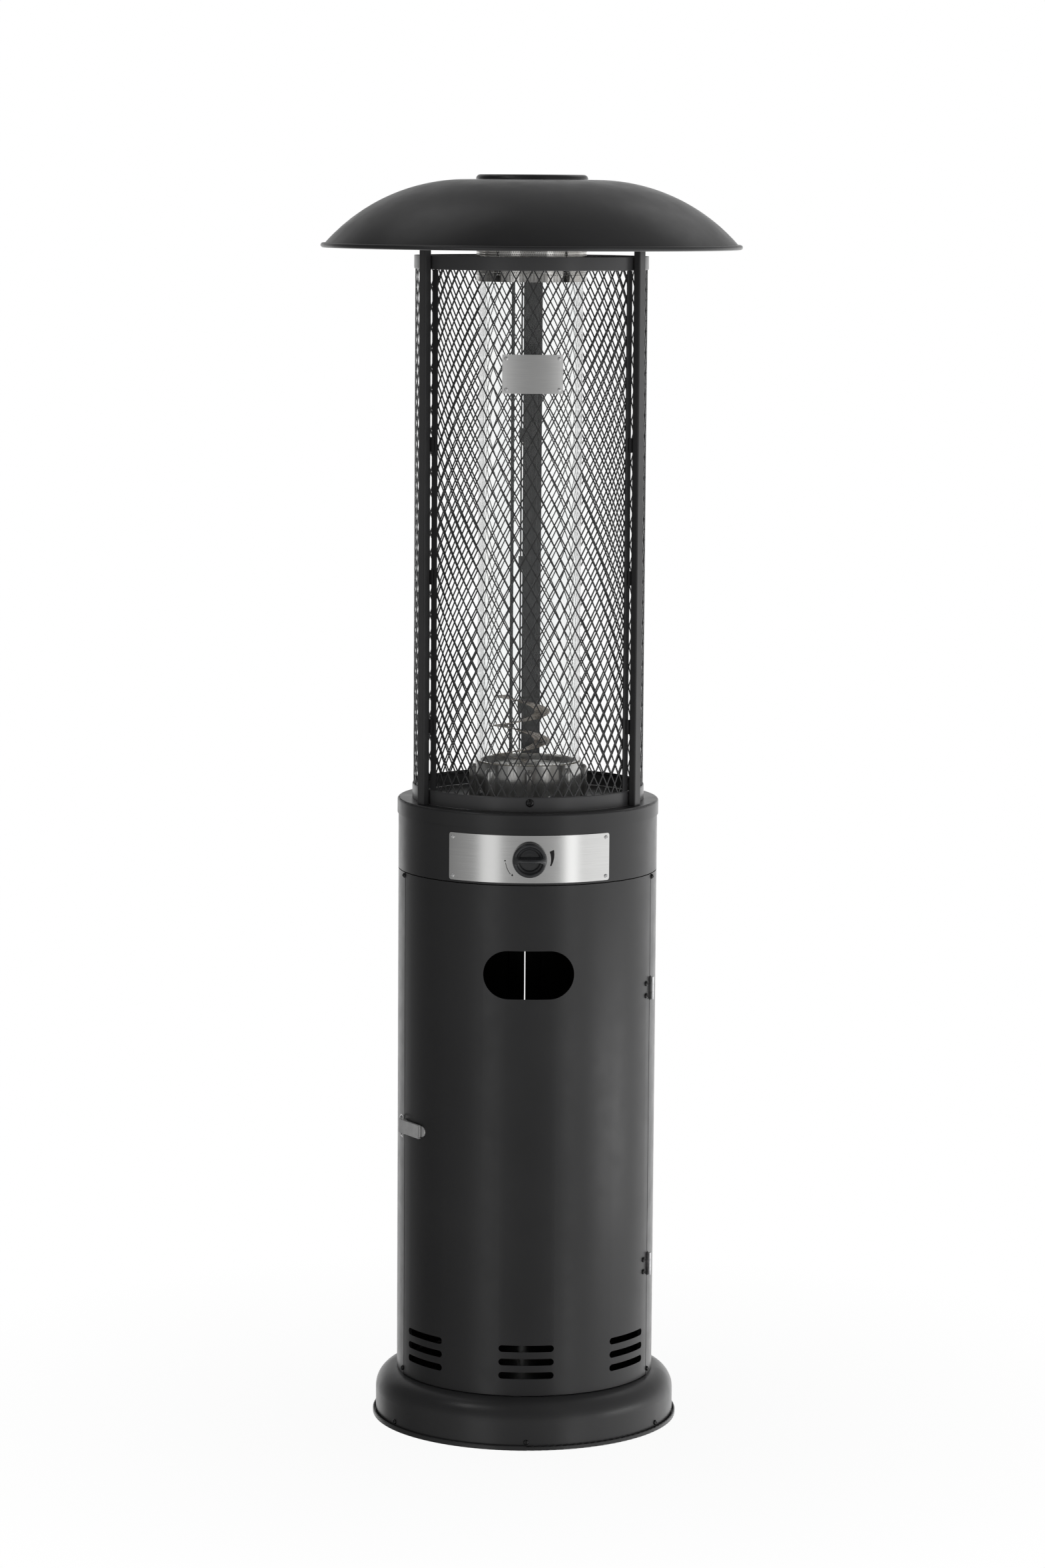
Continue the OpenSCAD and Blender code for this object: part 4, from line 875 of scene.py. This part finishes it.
# Knob: a dished face crossed by a grip bar, drawn as heights over a disc, in shares of radius and depth
knob = {"rings": 64, "sides": 180, "crowding": 0.9, "barReach": 0.93, "barHalf": 0.085, "barFlare": 0.36,
        "flareFrom": 0.60, "flank": 0.10, "endFall": 0.36, "sideFall": 0.06,
        "outline": [(0.0, 0.22), (0.35, 0.17), (0.58, 0.13), (0.65, 0.33), (0.73, 0.37), (0.80, 0.60),
                    (0.84, 0.63), (0.91, 0.62), (0.96, 0.54), (0.99, 0.38), (1.0, 0.30)]}


def addKnob():
    low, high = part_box("knob")
    spec = knob
    sides = spec["sides"]
    radius = (high.x - low.x) / 2
    depth = high.y - low.y
    centre = Vector(((low.x + high.x) / 2, high.y, (low.z + high.z) / 2))

    def dish(share):
        for (near, nearHeight), (far, farHeight) in zip(spec["outline"], spec["outline"][1:]):
            if share <= far:
                return nearHeight + (farHeight - nearHeight) * smooth((share - near) / (far - near))
        return spec["outline"][-1][1]

    def height(x, z):
        along = abs(x) / radius
        across = abs(z) / radius
        face = dish(min(1.0, math.hypot(x, z) / radius))
        if along >= spec["barReach"]:
            return face * depth
        half = spec["barHalf"] + spec["barFlare"] * max(0.0, along - spec["flareFrom"])
        rise = smooth(clamp((half + spec["flank"] - across) / spec["flank"]))
        top = 1.0 - spec["endFall"] * (along / spec["barReach"]) ** 3
        top -= spec["sideFall"] * min(1.0, across / half) ** 2
        return max(face, face + (top - face) * rise) * depth

    verts = [centre + Vector((0, -height(0, 0), 0))]
    for ring in range(1, spec["rings"] + 1):
        r = radius * (ring / spec["rings"]) ** spec["crowding"]
        for side in range(sides):
            angle = 2 * math.pi * side / sides
            x, z = r * math.sin(angle), r * math.cos(angle)
            verts.append(centre + Vector((x, -height(x, z), z)))
    verts += [Vector((point.x, high.y, point.z)) for point in verts[-sides:]]
    piece = makePiece("knob_moulded", [tuple(v) for v in verts], discFaces(spec["rings"], sides), "knob",
                      "knob", True)
    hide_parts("knob")


addKnob()
print("knob moulded")


# Printed marks on the control panel: a dot, an arc, a small flame and a wedge
marks = {"thickness": 0.00012, "steps": 16, "dot": (-0.0403, -0.0024, 0.00125), "dotPoints": 20,
         "arcRadius": 0.0394, "arcWidth": 0.0009, "arcFrom": 188, "arcTo": 218,
         "flame": (-0.0285, -0.0256), "flameSize": 0.0024,
         "flameOutline": [(0, -1), (0.45, -0.75), (0.55, -0.2), (0.25, 0.35), (0.1, 1), (-0.2, 0.45),
                          (-0.5, -0.1), (-0.42, -0.7)],
         "wedgeFrom": 21.5, "wedgeTo": -17.3, "wedgeInner": 0.0353, "wedgeThin": 0.0021,
         "wedgeWide": 0.0078}


def addMarks():
    low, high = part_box("control_panel")
    radius = -low.y
    centreZ = (low.z + high.z) / 2
    spec = marks
    outlines = []
    dotX, dotZ, dotR = spec["dot"]
    turns = [2 * math.pi * n / spec["dotPoints"] for n in range(spec["dotPoints"])]
    outlines.append([(dotX + dotR * math.cos(turn), dotZ + dotR * math.sin(turn)) for turn in turns])
    steps = spec["steps"]
    sweep = spec["arcTo"] - spec["arcFrom"]
    arc = [math.radians(spec["arcFrom"] + sweep * n / steps) for n in range(steps + 1)]
    near = spec["arcRadius"]
    far = near + spec["arcWidth"]
    for begin, end in zip(arc, arc[1:]):
        corners = ((near, begin), (far, begin), (far, end), (near, end))
        outlines.append([(r * math.cos(angle), r * math.sin(angle)) for r, angle in corners])
    flameX, flameZ = spec["flame"]
    size = spec["flameSize"]
    outlines.append([(flameX + size * x, flameZ + size * z) for x, z in spec["flameOutline"]])
    for n in range(steps):
        quad = []
        for share, outer in ((n / steps, 0), (n / steps, 1), ((n + 1) / steps, 1), ((n + 1) / steps, 0)):
            angle = math.radians(spec["wedgeFrom"] + (spec["wedgeTo"] - spec["wedgeFrom"]) * share)
            wide = spec["wedgeWide"] + (spec["wedgeThin"] - spec["wedgeWide"]) * share
            r = spec["wedgeInner"] + outer * wide
            quad.append((r * math.cos(angle), r * math.sin(angle)))
        outlines.append(quad)
    verts = []
    faces = []
    for outline in outlines:
        area = sum(a[0] * b[1] - b[0] * a[1] for a, b in zip(outline, outline[1:] + outline[:1]))
        if area < 0:
            outline = outline[::-1]
        start = len(verts)
        count = len(outline)
        for lift in (spec["thickness"], 0.0):
            for x, z in outline:
                verts.append(aroundAxis(radius + lift, x / radius, centreZ + z))
        faces.append([start + n for n in range(count)])
        faces.append([start + count + n for n in reversed(range(count))])
        for n in range(count):
            m = (n + 1) % count
            faces.append([start + m, start + n, start + count + n, start + count + m])
    makePiece("panel_marks", verts, faces, "print", "housing")


addMarks()
print("marks printed")


# Stage: a pale floor that keeps a soft shadow, and a white room
pale = {"size": 2.6, "drop": 0.0005, "grey": (0.92, 0.92, 0.92, 1), "shadow": 0.05, "shadowFrom": 0.25,
        "shadowTo": 1.2}


def seenDirectly(tree, rays):
    # 1 for what the camera sees, also through the glass; 0 for what lights or mirrors
    return calculate(tree, "MAXIMUM", rays.outputs["Is Camera Ray"], rays.outputs["Is Transmission Ray"])


def addStage():
    spec = pale
    bpy.ops.mesh.primitive_plane_add(size=spec["size"], location=(0, 0, -spec["drop"]))
    floor = bpy.context.object
    floor.name = "floor"
    mat = bpy.data.materials.new("paleFloor")
    mat.use_nodes = True
    tree = mat.node_tree
    tree.nodes.clear()
    coords = addNode(tree, "ShaderNodeTexCoord")
    reach = addNode(tree, "ShaderNodeVectorMath", {0: coords.outputs["Object"]}, operation="LENGTH")
    keep = valueRange(tree, reach.outputs["Value"], spec["shadow"], 0.0, spec["shadowFrom"],
                      spec["shadowTo"])
    diffuse = addNode(tree, "ShaderNodeBsdfDiffuse", {"Color": spec["grey"]})
    white = addNode(tree, "ShaderNodeEmission", {"Color": (1, 1, 1, 1), "Strength": 1.0})
    clear = addNode(tree, "ShaderNodeBsdfTransparent")
    rays = addNode(tree, "ShaderNodeLightPath")
    share = calculate(tree, "MULTIPLY", seenDirectly(tree, rays), calculate(tree, "SUBTRACT", 1.0, keep))
    shown = mixShaders(tree, share, diffuse.outputs[0], white.outputs[0])
    # reflections pass through to the room, so the lower body sees what the upper body sees
    surface = mixShaders(tree, rays.outputs["Is Glossy Ray"], shown, clear.outputs[0])
    addNode(tree, "ShaderNodeOutputMaterial", {"Surface": surface})
    floor.data.materials.append(mat)


# What the polished parts see around them: grey level against the compass angle from the camera's side
room = {"around": [(-180, 1.1), (-150, 1.08), (-138, 0.28), (-100, 0.10), (-66, 0.26), (-46, 0.32),
                   (-41, 0.86), (-26, 0.90), (-24, 0.36), (0, 0.30), (27, 0.36), (31, 0.42), (33, 1.35),
                   (43, 1.35), (46, 0.62), (54, 0.84), (76, 0.88), (100, 0.98), (150, 1.2), (180, 1.5)],
        "upward": [(-90, 0.9), (-4, 1.0), (3, 0.85), (13, 0.45), (30, 0.27), (60, 0.23), (90, 0.15)]}


def addRoom():
    world = bpy.data.worlds.new("room")
    scene.world = world
    world.use_nodes = True
    tree = world.node_tree
    tree.nodes.clear()
    coords = addNode(tree, "ShaderNodeTexCoord")
    split = addNode(tree, "ShaderNodeSeparateXYZ", {0: coords.outputs["Generated"]})
    toCamera = calculate(tree, "MULTIPLY", split.outputs["Y"], -1.0)
    compass = calculate(tree, "ARCTAN2", split.outputs["X"], toCamera)
    climb = calculate(tree, "ARCSINE", split.outputs["Z"])
    levels = []
    for angle, stops, span in ((compass, room["around"], 180), (climb, room["upward"], 90)):
        share = valueRange(tree, angle, 0, 1, -math.radians(span), math.radians(span))
        places = [((at + span) / (2 * span), (level, level, level)) for at, level in stops]
        levels.append(ramp(tree, share, places))
    light = addNode(tree, "ShaderNodeMix", {0: 1.0, 6: levels[0], 7: levels[1]}, data_type="RGBA",
                    blend_type="MULTIPLY")
    glow = addNode(tree, "ShaderNodeBackground", {"Color": light.outputs[2], "Strength": 1.0})
    white = addNode(tree, "ShaderNodeBackground", {"Color": (1, 1, 1, 1), "Strength": 1.0})
    rays = addNode(tree, "ShaderNodeLightPath")
    both = mixShaders(tree, seenDirectly(tree, rays), glow.outputs[0], white.outputs[0])
    addNode(tree, "ShaderNodeOutputWorld", {"Surface": both})


# Area lamps: one from the upper left, one on the dome, one from the upper right, one low at the right
lamps = {
    "upperLeft": {"at": (-3.6, -2.0, 5.9), "aim": (0, 0, 1.8), "size": (1.6, 1.6), "power": 20},
    "domeGlow": {"at": (-2.0, 1.86, 6.2), "aim": (0, 0, 2.0), "size": (2.4, 2.4), "power": 9},
    "highRight": {"at": (2.67, 3.4, 5.4), "aim": (0, 0, 2.0), "size": (2.8, 2.2), "power": 9},
    "lowRight": {"at": (2.2, -0.5, 0.12), "aim": (0, 0, 0.12), "size": (1.4, 0.4), "power": 3.5},
}


def addLamps():
    for name, spec in lamps.items():
        data = bpy.data.lights.new(name, "AREA")
        data.shape = "RECTANGLE"
        data.size, data.size_y = spec["size"]
        data.energy = spec["power"]
        lamp = bpy.data.objects.new(name, data)
        scene.collection.objects.link(lamp)
        lamp.location = spec["at"]
        lamp.rotation_euler = (Vector(spec["aim"]) - Vector(spec["at"])).to_track_quat("-Z", "Y").to_euler()


addStage()
addRoom()
addLamps()
scene.view_settings.view_transform = "Standard"
print("stage lit")
